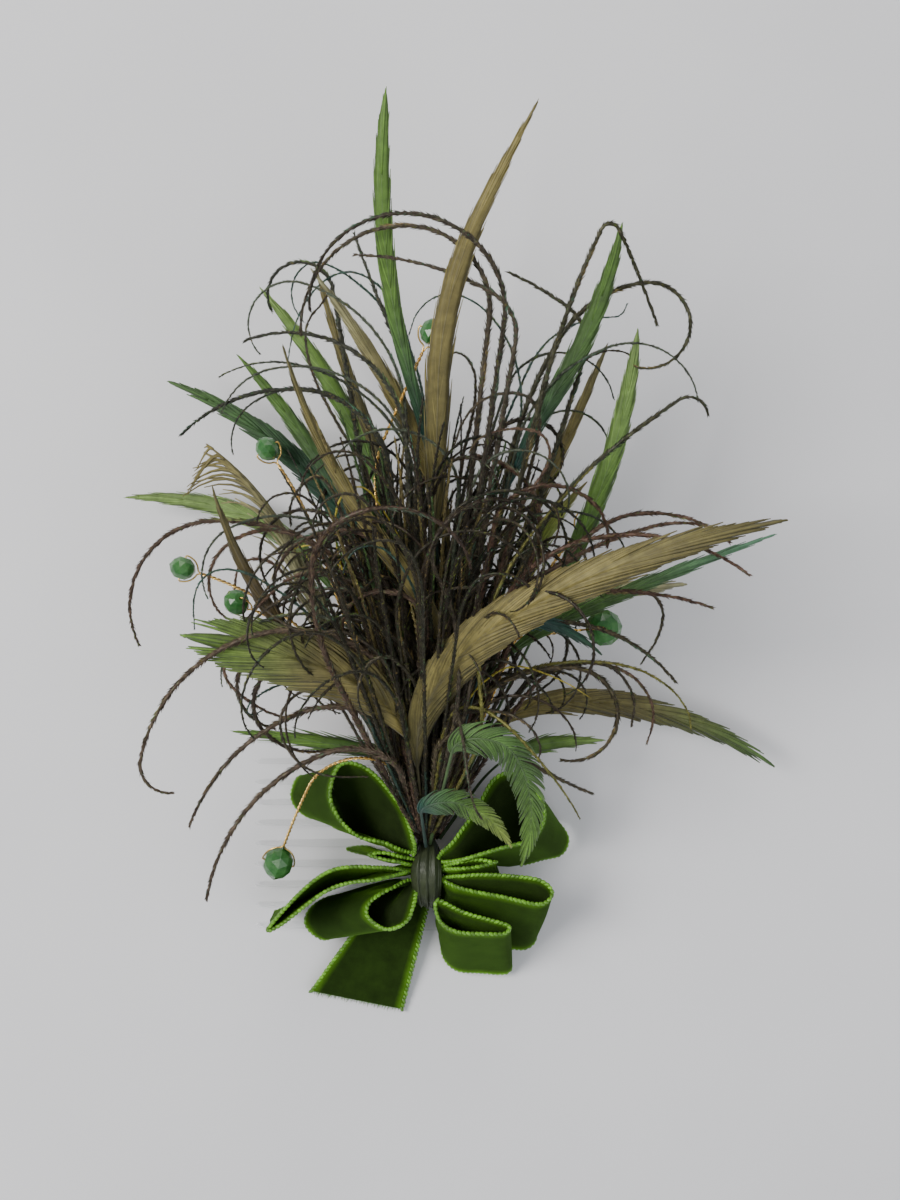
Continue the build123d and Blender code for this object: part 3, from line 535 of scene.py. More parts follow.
def smooth(points, rounds):
    """Rounds the corners of an open line."""
    for _ in range(rounds):
        cut = np.empty((2 * len(points) - 2, 3))
        cut[0::2] = 0.75 * points[:-1] + 0.25 * points[1:]
        cut[1::2] = 0.25 * points[:-1] + 0.75 * points[1:]
        points = np.vstack([points[:1], cut, points[-1:]])
    return points


def distances(points):
    """How far along a line each of its points is."""
    return np.r_[0, np.cumsum(np.linalg.norm(np.diff(points, axis=0), axis=1))]


def evenly(points, step):
    """The same line with its points a set distance apart."""
    far = distances(points)
    return interp3(np.linspace(0, far[-1], max(3, int(far[-1] / step) + 1)), far, points)


# ---------------- meshes
class Skin:
    """The vertices, faces and colours of one piece."""

    def __init__(self):
        self.points = []
        self.tints = []
        self.faces = []
        self.count = 0

    def add(self, points, faces, tint):
        self.points.append(points)
        self.tints.append(np.broadcast_to(np.asarray(tint, float), (len(points), 3)))
        self.faces += [f + self.count for f in faces]
        self.count += len(points)

    def tube(self, points, across, out, wide, high, profile, tints):
        """Adds one closed tube along a line, with a tint for each of its points."""
        shape, faces = sweep(points[None], across[None], out[None], wide[None], high[None], profile)
        self.add(shape, faces, np.repeat(tints, len(profile), axis=0))

    def make(self, name, material, slot):
        mesh = bpy.data.meshes.new(name)
        points = np.vstack(self.points) * MM
        mesh.vertices.add(len(points))
        mesh.vertices.foreach_set("co", points.astype(np.float32).ravel())
        totals = np.concatenate([np.full(len(f), f.shape[1]) for f in self.faces]).astype(np.int32)
        corners = np.concatenate([f.ravel() for f in self.faces]).astype(np.int32)
        mesh.loops.add(len(corners))
        mesh.loops.foreach_set("vertex_index", corners)
        mesh.polygons.add(len(totals))
        starts = np.r_[0, np.cumsum(totals)[:-1]].astype(np.int32)
        mesh.polygons.foreach_set("loop_start", starts)
        mesh.polygons.foreach_set("loop_total", totals)
        mesh.polygons.foreach_set("use_smooth", np.full(len(totals), True))
        tint = mesh.attributes.new("tint", "FLOAT_COLOR", "POINT")
        colour = np.ones((len(points), 4), np.float32)
        colour[:, :3] = np.vstack(self.tints)
        tint.data.foreach_set("color", colour.ravel())
        mesh.update()
        mesh.validate()
        mesh.materials.append(material)
        piece = bpy.data.objects.new(name, mesh)
        bpy.context.scene.collection.objects.link(piece)
        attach(piece, HEAD)
        return piece


def frames(paths, hint):
    """Unit vectors across and out of each line, near the hint."""
    along = unit(np.gradient(paths, axis=1))
    across = unit(np.cross(np.broadcast_to(hint, paths.shape), along))
    return across, np.cross(along, across)


def sweep(paths, across, out, wide, high, profile):
    """Closed tubes along many lines of equal point counts: points and faces."""
    profile = np.asarray(profile, float)
    ring = (
        paths[:, :, None]
        + across[:, :, None] * (wide[:, :, None] * profile[:, 0])[..., None]
        + out[:, :, None] * (high[:, :, None] * profile[:, 1])[..., None]
    )
    m, n, k = ring.shape[:3]
    index = np.arange(m * n * k).reshape(m, n, k)
    a, b = index[:, :-1], index[:, 1:]
    quads = np.stack([a, np.roll(a, -1, 2), np.roll(b, -1, 2), b], axis=-1).reshape(-1, 4)
    return ring.reshape(-1, 3), [quads, index[:, 0, ::-1].copy(), index[:, -1].copy()]


def round_profile(sides):
    turns = np.arange(sides) * 2 * math.pi / sides
    return np.stack([np.cos(turns), np.sin(turns)], axis=1)


ROUND = round_profile(6)
BLADE_PROFILE = [(-1, 0), (1, 0), (0, 1)]
WEB_PROFILE = [
    (-1, -1.2), (-0.5, 0.1), (0, 0.5), (0.5, 0.1), (1, -1.2), (0.5, -0.7), (0, -0.3), (-0.5, -0.7)]
THIRDS_OF_A_TURN = (0, 2.0944, 4.1888)


def spikes(roots, directions, lengths, radius):
    """Slender three-sided spikes, open at their hidden roots."""
    hint = np.where(np.abs(directions[:, 2:]) < 0.9, [[0.0, 0.0, 1.0]], [[1.0, 0.0, 0.0]])
    e1 = unit(np.cross(directions, hint))
    e2 = np.cross(directions, e1)
    base = [roots + radius * (math.cos(t) * e1 + math.sin(t) * e2) for t in THIRDS_OF_A_TURN]
    points = np.stack([*base, roots + directions * lengths[:, None]], axis=1)
    index = np.arange(4 * len(roots)).reshape(-1, 4)
    faces = np.vstack([index[:, [0, 1, 3]], index[:, [1, 2, 3]], index[:, [2, 0, 3]]])
    return points.reshape(-1, 3), [faces]


# ---------------- materials
class Shade:
    """A material under construction."""

    def __init__(self, name, **sockets):
        self.material = bpy.data.materials.new(name)
        self.material.use_nodes = True
        self.tree = self.material.node_tree
        self.surface = self.tree.nodes["Principled BSDF"]
        for socket, value in sockets.items():
            self.surface.inputs[socket.replace("_", " ")].default_value = value

    def node(self, kind, inputs=(), **settings):
        made = self.tree.nodes.new("ShaderNode" + kind)
        for key, value in settings.items():
            setattr(made, key, value)
        for key, value in dict(inputs).items():
            if isinstance(value, bpy.types.NodeSocket):
                self.tree.links.new(value, made.inputs[key])
            else:
                made.inputs[key].default_value = value
        return made

    def to(self, socket, output):
        self.tree.links.new(output, self.surface.inputs[socket])

    def texture(self, kind, **inputs):
        place = self.node("TexCoord").outputs["Object"]
        return self.node(kind, {"Vector": place, **inputs}).outputs["Fac"]

    def noise(self, scale, detail, rough=0.6):
        return self.texture("TexNoise", Scale=scale, Detail=detail, Roughness=rough)

    def wave(self, scale, distortion, detail):
        return self.texture("TexWave", Scale=scale, Distortion=distortion, Detail=detail)

    def ramp(self, value, *stops):
        """Colours, or greys given as one number, at places from 0 to 1."""
        made = self.node("ValToRGB", {"Fac": value})
        ramp = made.color_ramp
        while len(ramp.elements) < len(stops):
            ramp.elements.new(0.5)
        for element, (place, colour) in zip(ramp.elements, stops):
            element.position = place
            element.color = (*colour, 1.0) if isinstance(colour, tuple) else (colour, colour, colour, 1.0)
        return made.outputs["Color"]

    def mix(self, factor, a, b, mode="MIX"):
        made = self.node("Mix", {6: a, 7: b}, data_type="RGBA", blend_type=mode)
        if isinstance(factor, float):
            made.inputs[0].default_value = factor
        else:
            self.tree.links.new(factor, made.inputs[0])
        return made.outputs[2]

    def tinted(self, value, *stops):
        """The piece's own tint, made darker and lighter by a texture."""
        tint = self.node("Attribute", attribute_name="tint").outputs["Color"]
        return self.mix(1.0, tint, self.ramp(value, *stops), "MULTIPLY")

    def bump(self, height, strength, distance):
        made = self.node("Bump", {"Height": height, "Strength": strength, "Distance": distance})
        self.to("Normal", made.outputs["Normal"])


def feather_material():
    s = Shade("dyed_feather", Roughness=0.5, Sheen_Weight=0.08, Sheen_Roughness=0.4,
              Specular_IOR_Level=0.35)
    s.to("Base Color", s.tinted(s.noise(380.0, 4.0), (0.25, 0.62), (0.75, (1.3, 1.3, 1.25))))
    s.bump(s.noise(3200.0, 2.0), 0.25, 0.0001)
    return s.material


def herl_material():
    s = Shade("peacock_herl", Metallic=0.2, Specular_IOR_Level=0.35)
    body = s.tinted(s.noise(700.0, 5.0, 0.7), (0.35, (0.5, 0.47, 0.44)), (0.62, (1.65, 1.6, 1.5)))
    # Painted glints: noise spots where lime and gold highlight colours replace the strand's tint, and the
    # surface is glossier there.
    glints = s.noise(1500.0, 3.0, 0.7)
    where = s.ramp(glints, (0.58, 0.0), (0.66, 1.0))
    hues = s.noise(160.0, 2.0)
    glint = s.ramp(hues, (0.35, (0.03, 0.10, 0.05)), (0.5, (0.09, 0.12, 0.025)), (0.62, (0.17, 0.12, 0.04)))
    s.to("Base Color", s.mix(where, body, glint))
    s.to("Roughness", s.ramp(glints, (0.45, 0.55), (0.7, 0.25)))
    return s.material


def velvet_material():
    s = Shade("moss_velvet", Roughness=0.9, Sheen_Weight=0.42, Sheen_Roughness=0.4,
              Sheen_Tint=(0.19, 0.46, 0.035, 1.0), Specular_IOR_Level=0.08)
    s.to("Base Color", s.tinted(s.noise(260.0, 5.0), (0.3, 0.7), (0.72, (1.3, 1.3, 1.2))))
    s.bump(s.noise(4200.0, 2.0), 0.6, 0.0002)
    return s.material


def satin_material():
    s = Shade("lime_satin", Roughness=0.4, Sheen_Weight=0.05)
    threads = s.wave(900.0, 3.0, 2.0)
    s.to("Base Color", s.tinted(threads, (0.1, (0.7, 0.7, 0.6)), (0.9, (1.25, 1.25, 1.2))))
    s.bump(threads, 0.3, 0.0001)
    return s.material


def tape_material():
    s = Shade("floral_tape", Roughness=0.45, Specular_IOR_Level=0.35)
    cloud = s.noise(420.0, 5.0)
    s.to("Base Color", s.ramp(cloud, (0.3, (0.018, 0.025, 0.010)), (0.7, (0.042, 0.054, 0.024))))
    s.bump(s.wave(620.0, 6.0, 3.0), 0.35, 0.00015)
    return s.material


def wire_material():
    s = Shade("gilt_wire", Metallic=1.0)
    age = s.noise(500.0, 4.0)
    s.to("Base Color", s.ramp(age, (0.3, (0.50, 0.30, 0.07)), (0.65, (0.95, 0.66, 0.22))))
    s.to("Roughness", s.ramp(age, (0.3, 0.38), (0.7, 0.18)))
    s.bump(s.noise(2600.0, 2.0), 0.1, 0.00005)
    return s.material


def jade_material():
    s = Shade("jade_glass", Roughness=0.22, Coat_Weight=0.2, Coat_Roughness=0.1, Subsurface_Weight=0.2,
              Subsurface_Radius=(0.0008, 0.0020, 0.0010), Subsurface_Scale=1.0)
    cloud = s.noise(420.0, 4.0)
    s.to("Base Color", s.ramp(cloud, (0.3, (0.020, 0.105, 0.022)), (0.7, (0.070, 0.205, 0.055))))
    s.bump(s.noise(900.0, 2.0), 0.06, 0.0001)
    return s.material


def plastic_material():
    s = Shade("clear_plastic", Transmission_Weight=0.9, IOR=1.49, Alpha=0.3,
              Base_Color=(0.96, 0.97, 0.97, 1.0))
    scuffs = s.noise(300.0, 4.0)
    s.to("Roughness", s.ramp(scuffs, (0.4, 0.04), (0.75, 0.16)))
    s.bump(scuffs, 0.08, 0.0002)
    return s.material


def floor_material():
    s = Shade("pale_cloth", Roughness=0.9)
    soft = s.noise(6.0, 3.0)
    s.to("Base Color", s.ramp(soft, (0.3, (0.70, 0.70, 0.72)), (0.7, (0.78, 0.78, 0.80))))
    s.bump(soft, 0.25, 0.004)
    return s.material


FEATHER = feather_material()
HERL = herl_material()
VELVET = velvet_material()
SATIN = satin_material()
TAPE = tape_material()
WIRE = wire_material()
JADE = jade_material()
PLASTIC = plastic_material()


def refinish(node, material):
    """Gives a CAD node a better material."""
    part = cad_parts[node]
    part.data.materials.clear()
    part.data.materials.append(material)


# ---------------- camera, light and floor
def studio():
    camera = bpy.data.objects.new("camera", bpy.data.cameras.new("camera"))
    camera.data.sensor_width = SENSOR
    camera.data.lens = SENSOR * VIEW_HEIGHT / VIEW_FRAME
    camera.data.clip_start = 0.01
    camera.data.clip_end = 10
    camera.location = (VIEW_CENTRE[0] * MM, VIEW_CENTRE[1] * MM, VIEW_HEIGHT * MM)
    bpy.context.scene.collection.objects.link(camera)
    bpy.context.scene.camera = camera
    bpy.ops.mesh.primitive_grid_add(
        x_subdivisions=60, y_subdivisions=60, size=FLOOR_SIZE, location=FLOOR_PLACE)
    floor = bpy.context.active_object
    floor.name = "floor"
    floor.data.materials.append(floor_material())
    world = bpy.data.worlds.new("studio")
    bpy.context.scene.world = world
    world.use_nodes = True
    background = world.node_tree.nodes["Background"]
    background.inputs["Color"].default_value = SKY_COLOUR
    background.inputs["Strength"].default_value = SKY_STRENGTH
    for name, place, size, power, colour in LAMPS:
        lamp = bpy.data.objects.new(name, bpy.data.lights.new(name, "AREA"))
        lamp.data.size = size
        lamp.data.energy = power
        lamp.data.color = colour
        lamp.location = place
        lamp.rotation_euler = (LAMP_AIM - Vector(place)).to_track_quat("-Z", "Y").to_euler()
        bpy.context.scene.collection.objects.link(lamp)


# ---------------- feathers
def half_width(spec, first, total, far):
    """Half the blade's width at distances along a feather."""
    part = np.clip((far - first) / (total - first), 0, 1) ** spec.get("late", 1.0)
    phase = np.minimum(1.0, 0.12 + 0.88 * part) ** 0.75
    swell = np.sin(math.pi * phase)
    swell = np.where(phase > 0.5, np.maximum(swell, 0) ** spec.get("full", 0.75), swell)
    return spec["width"] / 2 * swell


def blend3(tints, part):
    """Colour between three stops, for an array of parts from 0 to 1."""
    return interp3(part, (0.0, 0.45, 1.0), np.array(tints))


def feather(name, spec, number):
    """A quill, a closed web along it, and single barbs on both sides."""
    rng = np.random.default_rng(FEATHER_SEED + number)
    runs = route_of(spec)
    total = length_of(runs)
    first = spec["vane"] - STRAND_START
    blade = total - first
    far, points, directions = line(runs, 0.8)
    sides = side_of(directions)
    ups = np.cross(sides, directions)

    def at(distance, table):
        return interp3(distance, far, table)

    skin = Skin()
    quill = QUILL_HALF * (1 - 0.72 * far / total)
    shaft = blend3(spec["tint"], np.clip((far - first) / blade, 0, 1)) * 0.75 + 0.02
    skin.tube(points, -sides, ups, quill, quill * 0.8, ROUND, shaft)

    web = spec.get("web", 0.93)
    barb = min(spec["barb"], 0.6 * blade)
    if web:
        begin = first - 0.25 * barb
        place = np.linspace(begin, total - 0.3, int(blade / 0.9) + 4)
        half = np.maximum(web * half_width(spec, first, total, place), 0.22)
        half *= 1 + 0.03 * np.sin(place * 0.9 + number) + 0.015 * np.sin(place * 3.9)
        half *= np.interp(place, (begin, first + 2, total), (0.35, 1.0, 1.0))
        hue = blend3(spec["tint"], np.clip((place - first) / blade, 0, 1)) * 0.78
        skin.tube(at(place, points), -at(place, sides), at(place, ups), half, 0.06 * half + 0.07,
                  WEB_PROFILE, hue)
    steps = np.linspace(0, 1, BARB_STEPS)
    gap = spec.get("gap", 0.24) * barb / (0.42 * spec["width"])
    count = max(14, int((blade + 0.55 * barb) / gap))
    thick = spec.get("thick", 0.2 if web else 0.26)
    for sign in (-1, 1):
        root = np.linspace(first - 0.4 * barb, total - 0.6 * gap, count) + rng.normal(0, 0.12 * gap, count)
        reach = barb * (0.85 + 0.3 * rng.random(count))
        reach = np.minimum(reach, (total - root) * (1.0 + 0.06 * rng.random(count)))
        reach = np.maximum(reach, 0.8)
        tip_half = half_width(spec, first, total, root + reach)
        blunt = spec.get("blunt", 0.0) * rng.random(count) * spec["width"]
        tip_half = np.where(tip_half > 0.05, np.maximum(tip_half, blunt), tip_half)
        stray = rng.normal(0, 0.18 * spec["fray"], count) * spec["width"]
        tip = tip_half + np.abs(stray) * 0.5 * (tip_half > 0.3) + 0.12 * rng.random(count)
        tip = np.maximum(tip, 0.05)
        along = root[:, None] + reach[:, None] * steps
        open_out = 1 - (1 - steps) ** 1.5
        apart = tip[:, None] * open_out * (1 + spec["fray"] * 0.3 * steps**3)
        inside = np.clip(along, 0, total)
        centre = at(inside, points) + at(inside, directions) * (along - inside)[..., None]
        cup = 0.22 * apart**2 / max(spec["width"] / 2, 1)
        lift = rng.normal(0, 0.07, count)[:, None] * (0.3 + steps) - cup
        centre = centre + at(inside, sides) * (sign * apart)[..., None] + at(inside, ups) * lift[..., None]
        if "hook" in spec:
            pull = steps**3 * rng.random(count)[:, None] * (tip_half > 0)[:, None]
            gone = np.clip((root + reach - first) / blade, 0, 1)[:, None, None] ** 2
            centre = centre + np.array(spec["hook"]) * pull[..., None] * gone
        across, out = frames(centre, at(inside, ups))
        wide = thick * (1 + 0.3 * rng.random(count))[:, None] * (1 - 0.75 * steps**2.5)
        shape, faces = sweep(centre, across, out, wide, 0.5 * wide, BLADE_PROFILE)
        colour = blend3(spec["tint"], np.clip((inside - first) / blade, 0, 1))
        colour = colour * (0.78 + 0.5 * rng.random(count))[:, None, None]
        # Painted light and shade: the barbs on one side of the quill are made lighter and those on the
        # other side darker.
        colour = colour * (1.0 - 0.09 * sign)
        skin.add(shape, faces, np.repeat(colour.reshape(-1, 3), len(BLADE_PROFILE), axis=0))
    piece = skin.make("plume_" + name, FEATHER, spec.get("slot", "green_feather"))
    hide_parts("feather_" + name)


# ---------------- where the beads are
def bead_frame(spec, runs):
    """A bead's centre, the axis of its hole and the direction of its wire."""
    end, direction = on_route(runs, length_of(runs))
    side = side_of(direction)
    up = np.cross(side, direction)
    tilt = math.radians(spec["tilt"])
    loop = spec["size"] / 2 + LOOP_ROOM
    return end + direction * (loop + LOOP_WIRE / 2), math.cos(tilt) * side + math.sin(tilt) * up, direction


BEAD_RUNS = {name: route_of(spec) for name, spec in BEADS.items()}
BEAD_CENTRES = np.array([bead_frame(BEADS[name], runs)[0] for name, runs in BEAD_RUNS.items()])


# ---------------- strands
def herl_along(skin, far, points, directions, tint, rng, density, size, bare=0.0):
    """A core with short barbs laid close along it, slim and dark near its root."""
    sides = side_of(directions)
    total = far[-1]
    core = 0.42 * size * (1 - 0.7 * (far / total) ** 4)
    core = core * (1 + 0.05 * np.sin(far * 2.3)) * np.interp(far, (0, SLIM_ROOT), (0.6, 1))
    tint = np.array(tint)
    streak = 0.75 + 0.35 * np.sin(far * 1.3) ** 2
    streak = streak * np.interp(far, (0, DARK_ROOT), (0.45, 1))
    skin.tube(points, -sides, np.cross(sides, directions), core, core * 0.85, ROUND, tint * streak[:, None])
    count = int((total - bare) * density)
    place = np.sort(bare + (total - bare) * rng.random(count))
    p = interp3(place, far, points)
    d = unit(interp3(place, far, directions))
    e1 = side_of(d)
    e2 = np.cross(e1, d)
    turn = 2 * math.pi * rng.random(count)
    radial = np.cos(turn)[:, None] * e1 + 0.85 * np.sin(turn)[:, None] * e2
    thin = 1 - 0.6 * (place / total) ** 4
    lean = np.radians(13 + 17 * rng.random(count))
    way = unit(np.cos(lean)[:, None] * d + np.sin(lean)[:, None] * radial)
    long = size * (0.9 + 0.9 * rng.random(count)) * thin * np.interp(place, (0, SLIM_ROOT), (0.55, 1))
    roots = p + radial * (0.26 * size * thin)[:, None]
    shape, faces = spikes(roots, way, long, 0.15 * size)
    shade = tint * ((0.55 + 1.1 * rng.random(count)) * np.interp(place, (0, DARK_ROOT), (0.45, 1)))[:, None]
    # Painted highlight: stretches of iridescent colour added to the barbs on one side of the strand.
    phase = rng.uniform(0, 2 * math.pi, 2)
    gleam = np.sin(place * 0.23 + phase[0]) * np.sin(place * 0.09 + phase[1]) - 0.15
    gleam = np.clip(1.6 * gleam, 0, 1) * (np.cos(turn) > 0.2) * rng.random(count)
    shade = shade + np.array(GLEAMS[rng.integers(len(GLEAMS))]) * gleam[:, None]
    skin.add(shape, faces, np.repeat(shade, 4, axis=0))


def herl(skin, runs, tint, rng, density=11.0, size=1.0, bare=0.0):
    """A fuzzy strand along a route."""
    herl_along(skin, *line(runs, 1.0), tint, rng, density, size, bare)


def herl_through(skin, points, step, tint, rng, density, size):
    """A fuzzy strand along a smooth line near some points."""
    path = evenly(smooth(np.array(points, float), 4), step)
    herl_along(skin, distances(path), path, unit(np.gradient(path, axis=0)), tint, rng, density, size)


def core_spec(number):
    """A strand of the CAD's core of the plume, by its number."""
    off = CORE_HALF_ANGLE * math.sqrt((number + 0.5) / CORE_TRIES)
    around = math.radians(number * GOLDEN_ANGLE)
    bearing = off * math.cos(around)
    rise = CORE_RISE + off * math.sin(around) * 0.8
    roll = 0 if bearing > 0 else 180
    tip = (number * 7) % 5
    bends = [(34, 18 + 4 * tip, roll - 20), (7 + 2 * tip, 110 + 20 * tip, roll)]
    return (round(bearing, 1), round(rise, 1)), 42 + (number * 13) % 47, bends


def fits(runs):
    """Does an extra strand stay inside the plume, above the table and clear of the beads?"""
    _, points, _ = line(runs, 1.5)
    low, high = np.array(cad_low) / MM + BOX_ROOM, np.array(cad_high) / MM - BOX_ROOM
    if (points < low).any() or (points > high).any() or points[:, 2].min() < TABLE_ROOM:
        return False
    near = np.linalg.norm(points[:, None] - BEAD_CENTRES[None], axis=2).min()
    within = (((points[:, :2] - PLUME_CENTRE) / PLUME_RADII) ** 2).sum(axis=1)
    return near > BEAD_ROOM and within.max() < 1


def extra_routes(rng, wanted):
    """Routes of the many strands in the middle of the plume, straight stems and curls."""
    kept = []
    while len(kept) < wanted:
        stem = len(kept) % 5 < 3
        bearing = float(np.clip(rng.normal(0, 8 if stem else 13), -28, 28))
        rise = float(rng.uniform(4, 40))
        roll = (0 if bearing + rng.normal(0, 10) > 0 else 180) + rng.uniform(-35, 35)
        if stem:
            reach = float(rng.uniform(44, 84))
            bends = [(rng.uniform(90, 220), rng.uniform(4, 14), roll)]
        else:
            reach = float(rng.uniform(30, 74))
            bends = [(rng.uniform(25, 60), rng.uniform(14, 44), roll)]
            bends.append((rng.uniform(5, 14), rng.uniform(90, 230), roll))
        runs = route((bearing, rise), reach, bends)
        if fits(runs):
            kept.append(runs)
    return kept


def herls():
    """The strands of each CAD node, and the many that only Blender has."""
    rng = np.random.default_rng(HERL_SEED)
    for group, specs in HERLS.items():
        skin = Skin()
        for spec in specs:
            tint = np.array(HERL_TINTS[group]) * rng.uniform(0.75, 1.3)
            herl(skin, route(*spec), tint, rng, size=1.25)
        piece = skin.make("strands_" + group, HERL, "bronze_herl")
        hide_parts("herls_" + group)
    skin = Skin()
    # Painted shade: the core and middle strands take the darkest tint, partly the herls' own colour, partly
    # shade of the dense middle.
    base = np.array(HERL_TINTS["core"])
    for number in range(0, CORE_TRIES, 4):
        runs = route(*core_spec(number))
        if fits(runs):
            herl(skin, runs, base * rng.uniform(0.8, 1.6), rng, 8.0, 0.85)
    piece = skin.make("strands_core", HERL, "bronze_herl")
    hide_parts("herls_core")
    skin = Skin()
    for number, runs in enumerate(extra_routes(rng, EXTRA_STRANDS)):
        if number and number % STRANDS_EACH == 0:
            skin.make("strands_middle_%d" % (number // STRANDS_EACH), HERL, "bronze_herl")
            skin = Skin()
        warm = rng.random()
        tint = base * rng.uniform(0.6, 1.6) * (1 + np.array([0.5, 0.1, 0.15]) * warm)
        if number % 10 in (1, 6):
            tint = np.array(PALE_SHAFT if number % 10 == 1 else GREEN_SHAFT)
        herl(skin, runs, tint, rng, 6.0, rng.uniform(0.8, 1.15))
    skin.make("strands_middle_%d" % (number // STRANDS_EACH + 1), HERL, "bronze_herl")
    skin = Skin()
    for number, spec in enumerate(FINE_CURLS):
        tint = np.array(HERL_TINTS["upper_left"]) * (1 + 0.5 * (number % 3)) * [1, 1.15, 1.1]
        herl(skin, route(*spec), tint, rng, size=0.8)
    skin.make("curls_fine", HERL, "bronze_herl")


def traced_points(tip, outline):
    """Points of a single curl: its outline, raised towards the tip, and a stalk from the quills."""
    outline = np.array(outline, float)
    t = np.linspace(0, 1, len(outline))
    curl = np.column_stack([outline, tip - 8 * (1 - t) ** 2 + 3 * np.sin(math.pi * t)])
    root = np.array([0.12 * outline[0, 0], 2 + 0.02 * outline[0, 1], 25.0])
    middle = (root + curl[0]) / 2 + [0, 0, 2]
    return np.round(np.vstack([root, middle, curl]), 1)


def curls():
    """Fine lime and gold strands that curl over the plume, their colour partly gilt and partly a painted
    highlight, and the curls that stand clear of it.
    """
    rng = np.random.default_rng(CURL_SEED)
    for name, points in CURLS.items():
        skin = Skin()
        herl_through(skin, points, 0.6, CURL_GILT_AND_HIGHLIGHT, rng, 8.0, 0.5)
        skin.make("curl_" + name, HERL, "bronze_herl")
    for group, rows in TRACED.items():
        skin = Skin()
        for tint, size, tip, outline in rows:
            herl_through(skin, traced_points(tip, outline), 0.8, tint, rng, 10.0, size)
        skin.make("curls_" + group, HERL, "bronze_herl")


def stems():
    """The bundle of quills between the knot and the plume."""
    rng = np.random.default_rng(STEM_SEED)
    skin = Skin()
    for number in range(STEMS):
        off = STEM_HALF_ANGLE * math.sqrt((number + 0.5) / STEMS)
        around = math.radians(number * GOLDEN_ANGLE)
        aim = (off * math.cos(around), BUNDLE_RISE + off * math.sin(around))
        reach = STEM_START + rng.uniform(15, 24)
        runs = route(aim, reach, [(60, rng.uniform(2, 14), rng.uniform(0, 360))], STEM_START)
        tint = np.array(STEM_TINTS[number % len(STEM_TINTS)]) * rng.uniform(0.7, 1.2)
        herl(skin, runs, tint, rng, 3.0, rng.uniform(0.9, 1.3), bare=8.0)
    piece = skin.make("quill_bundle", HERL, "dark_stems")
    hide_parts("stem_bundle")


# ---------------- bead wires
def twisted(points, phase):
    """One wire of a twisted pair round a line."""
    points = evenly(points, WIRE_STEP)
    along = unit(np.gradient(points, axis=0))
    side = side_of(along)
    up = np.cross(side, along)
    turn = phase + 2 * math.pi * WIRE_STEP * np.arange(len(points)) / TWIST_PITCH
    return points + TWIST_RADIUS * (np.cos(turn)[:, None] * side + np.sin(turn)[:, None] * up)


def bead_wires():
    """Each bead's twisted pair of wires, which parts round the bead and meets in its hole."""
    for name, spec in BEADS.items():
        runs = BEAD_RUNS[name]
        centre, axis, direction = bead_frame(spec, runs)
        _, points, _ = line(runs, 1.0)
        radius = spec["size"] / 2
        near, wide = radius + 0.42, 0.78 * radius + 0.55
        skin = Skin()
        for sign in (-1, 1):
            pair = twisted(points, 0 if sign > 0 else math.pi)
            bow = [centre - direction * near * math.cos(a) + sign * axis * wide * math.sin(a)
                   for a in np.linspace(0.12, math.pi / 2, 9)]
            pin = [centre + sign * axis * wide * f for f in (0.9, 0.4, 0.0)]
            path = evenly(smooth(np.vstack([pair[-3:], bow, pin]), 2), WIRE_STEP)
            path = np.vstack([pair[:-3], path])
            across, out = frames(path[None], WIRE_HINT)
            half = np.full(len(path), WIRE_RADIUS)
            skin.tube(path, across[0], out[0], half, half, round_profile(7), np.ones((len(path), 3)))
        piece = skin.make("twist_" + name, WIRE, "gilt_wire")
        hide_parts("wire_" + name)
        refinish("bead_" + name, JADE)


# ---------------- bow
def rim_curve(rim, count):
    """A closed smooth curve through the points of a rim."""
    known = np.array(rim, float)
    size = len(known)
    place = np.arange(count) * size / count
    whole = place.astype(int)
    t = (place - whole)[:, None]
    a, b, c, d = (known[(whole + n) % size] for n in (-1, 0, 1, 2))
    bend = 2 * a - 5 * b + 4 * c - d
    return b + 0.5 * t * ((c - a) + t * (bend + t * (3 * (b - c) + d - a)))


def ease(x, low, high):
    """From 0 to 1 between two values, gently at both."""
    t = np.clip((x - low) / (high - low), 0, 1)
    return t * t * (3 - 2 * t)


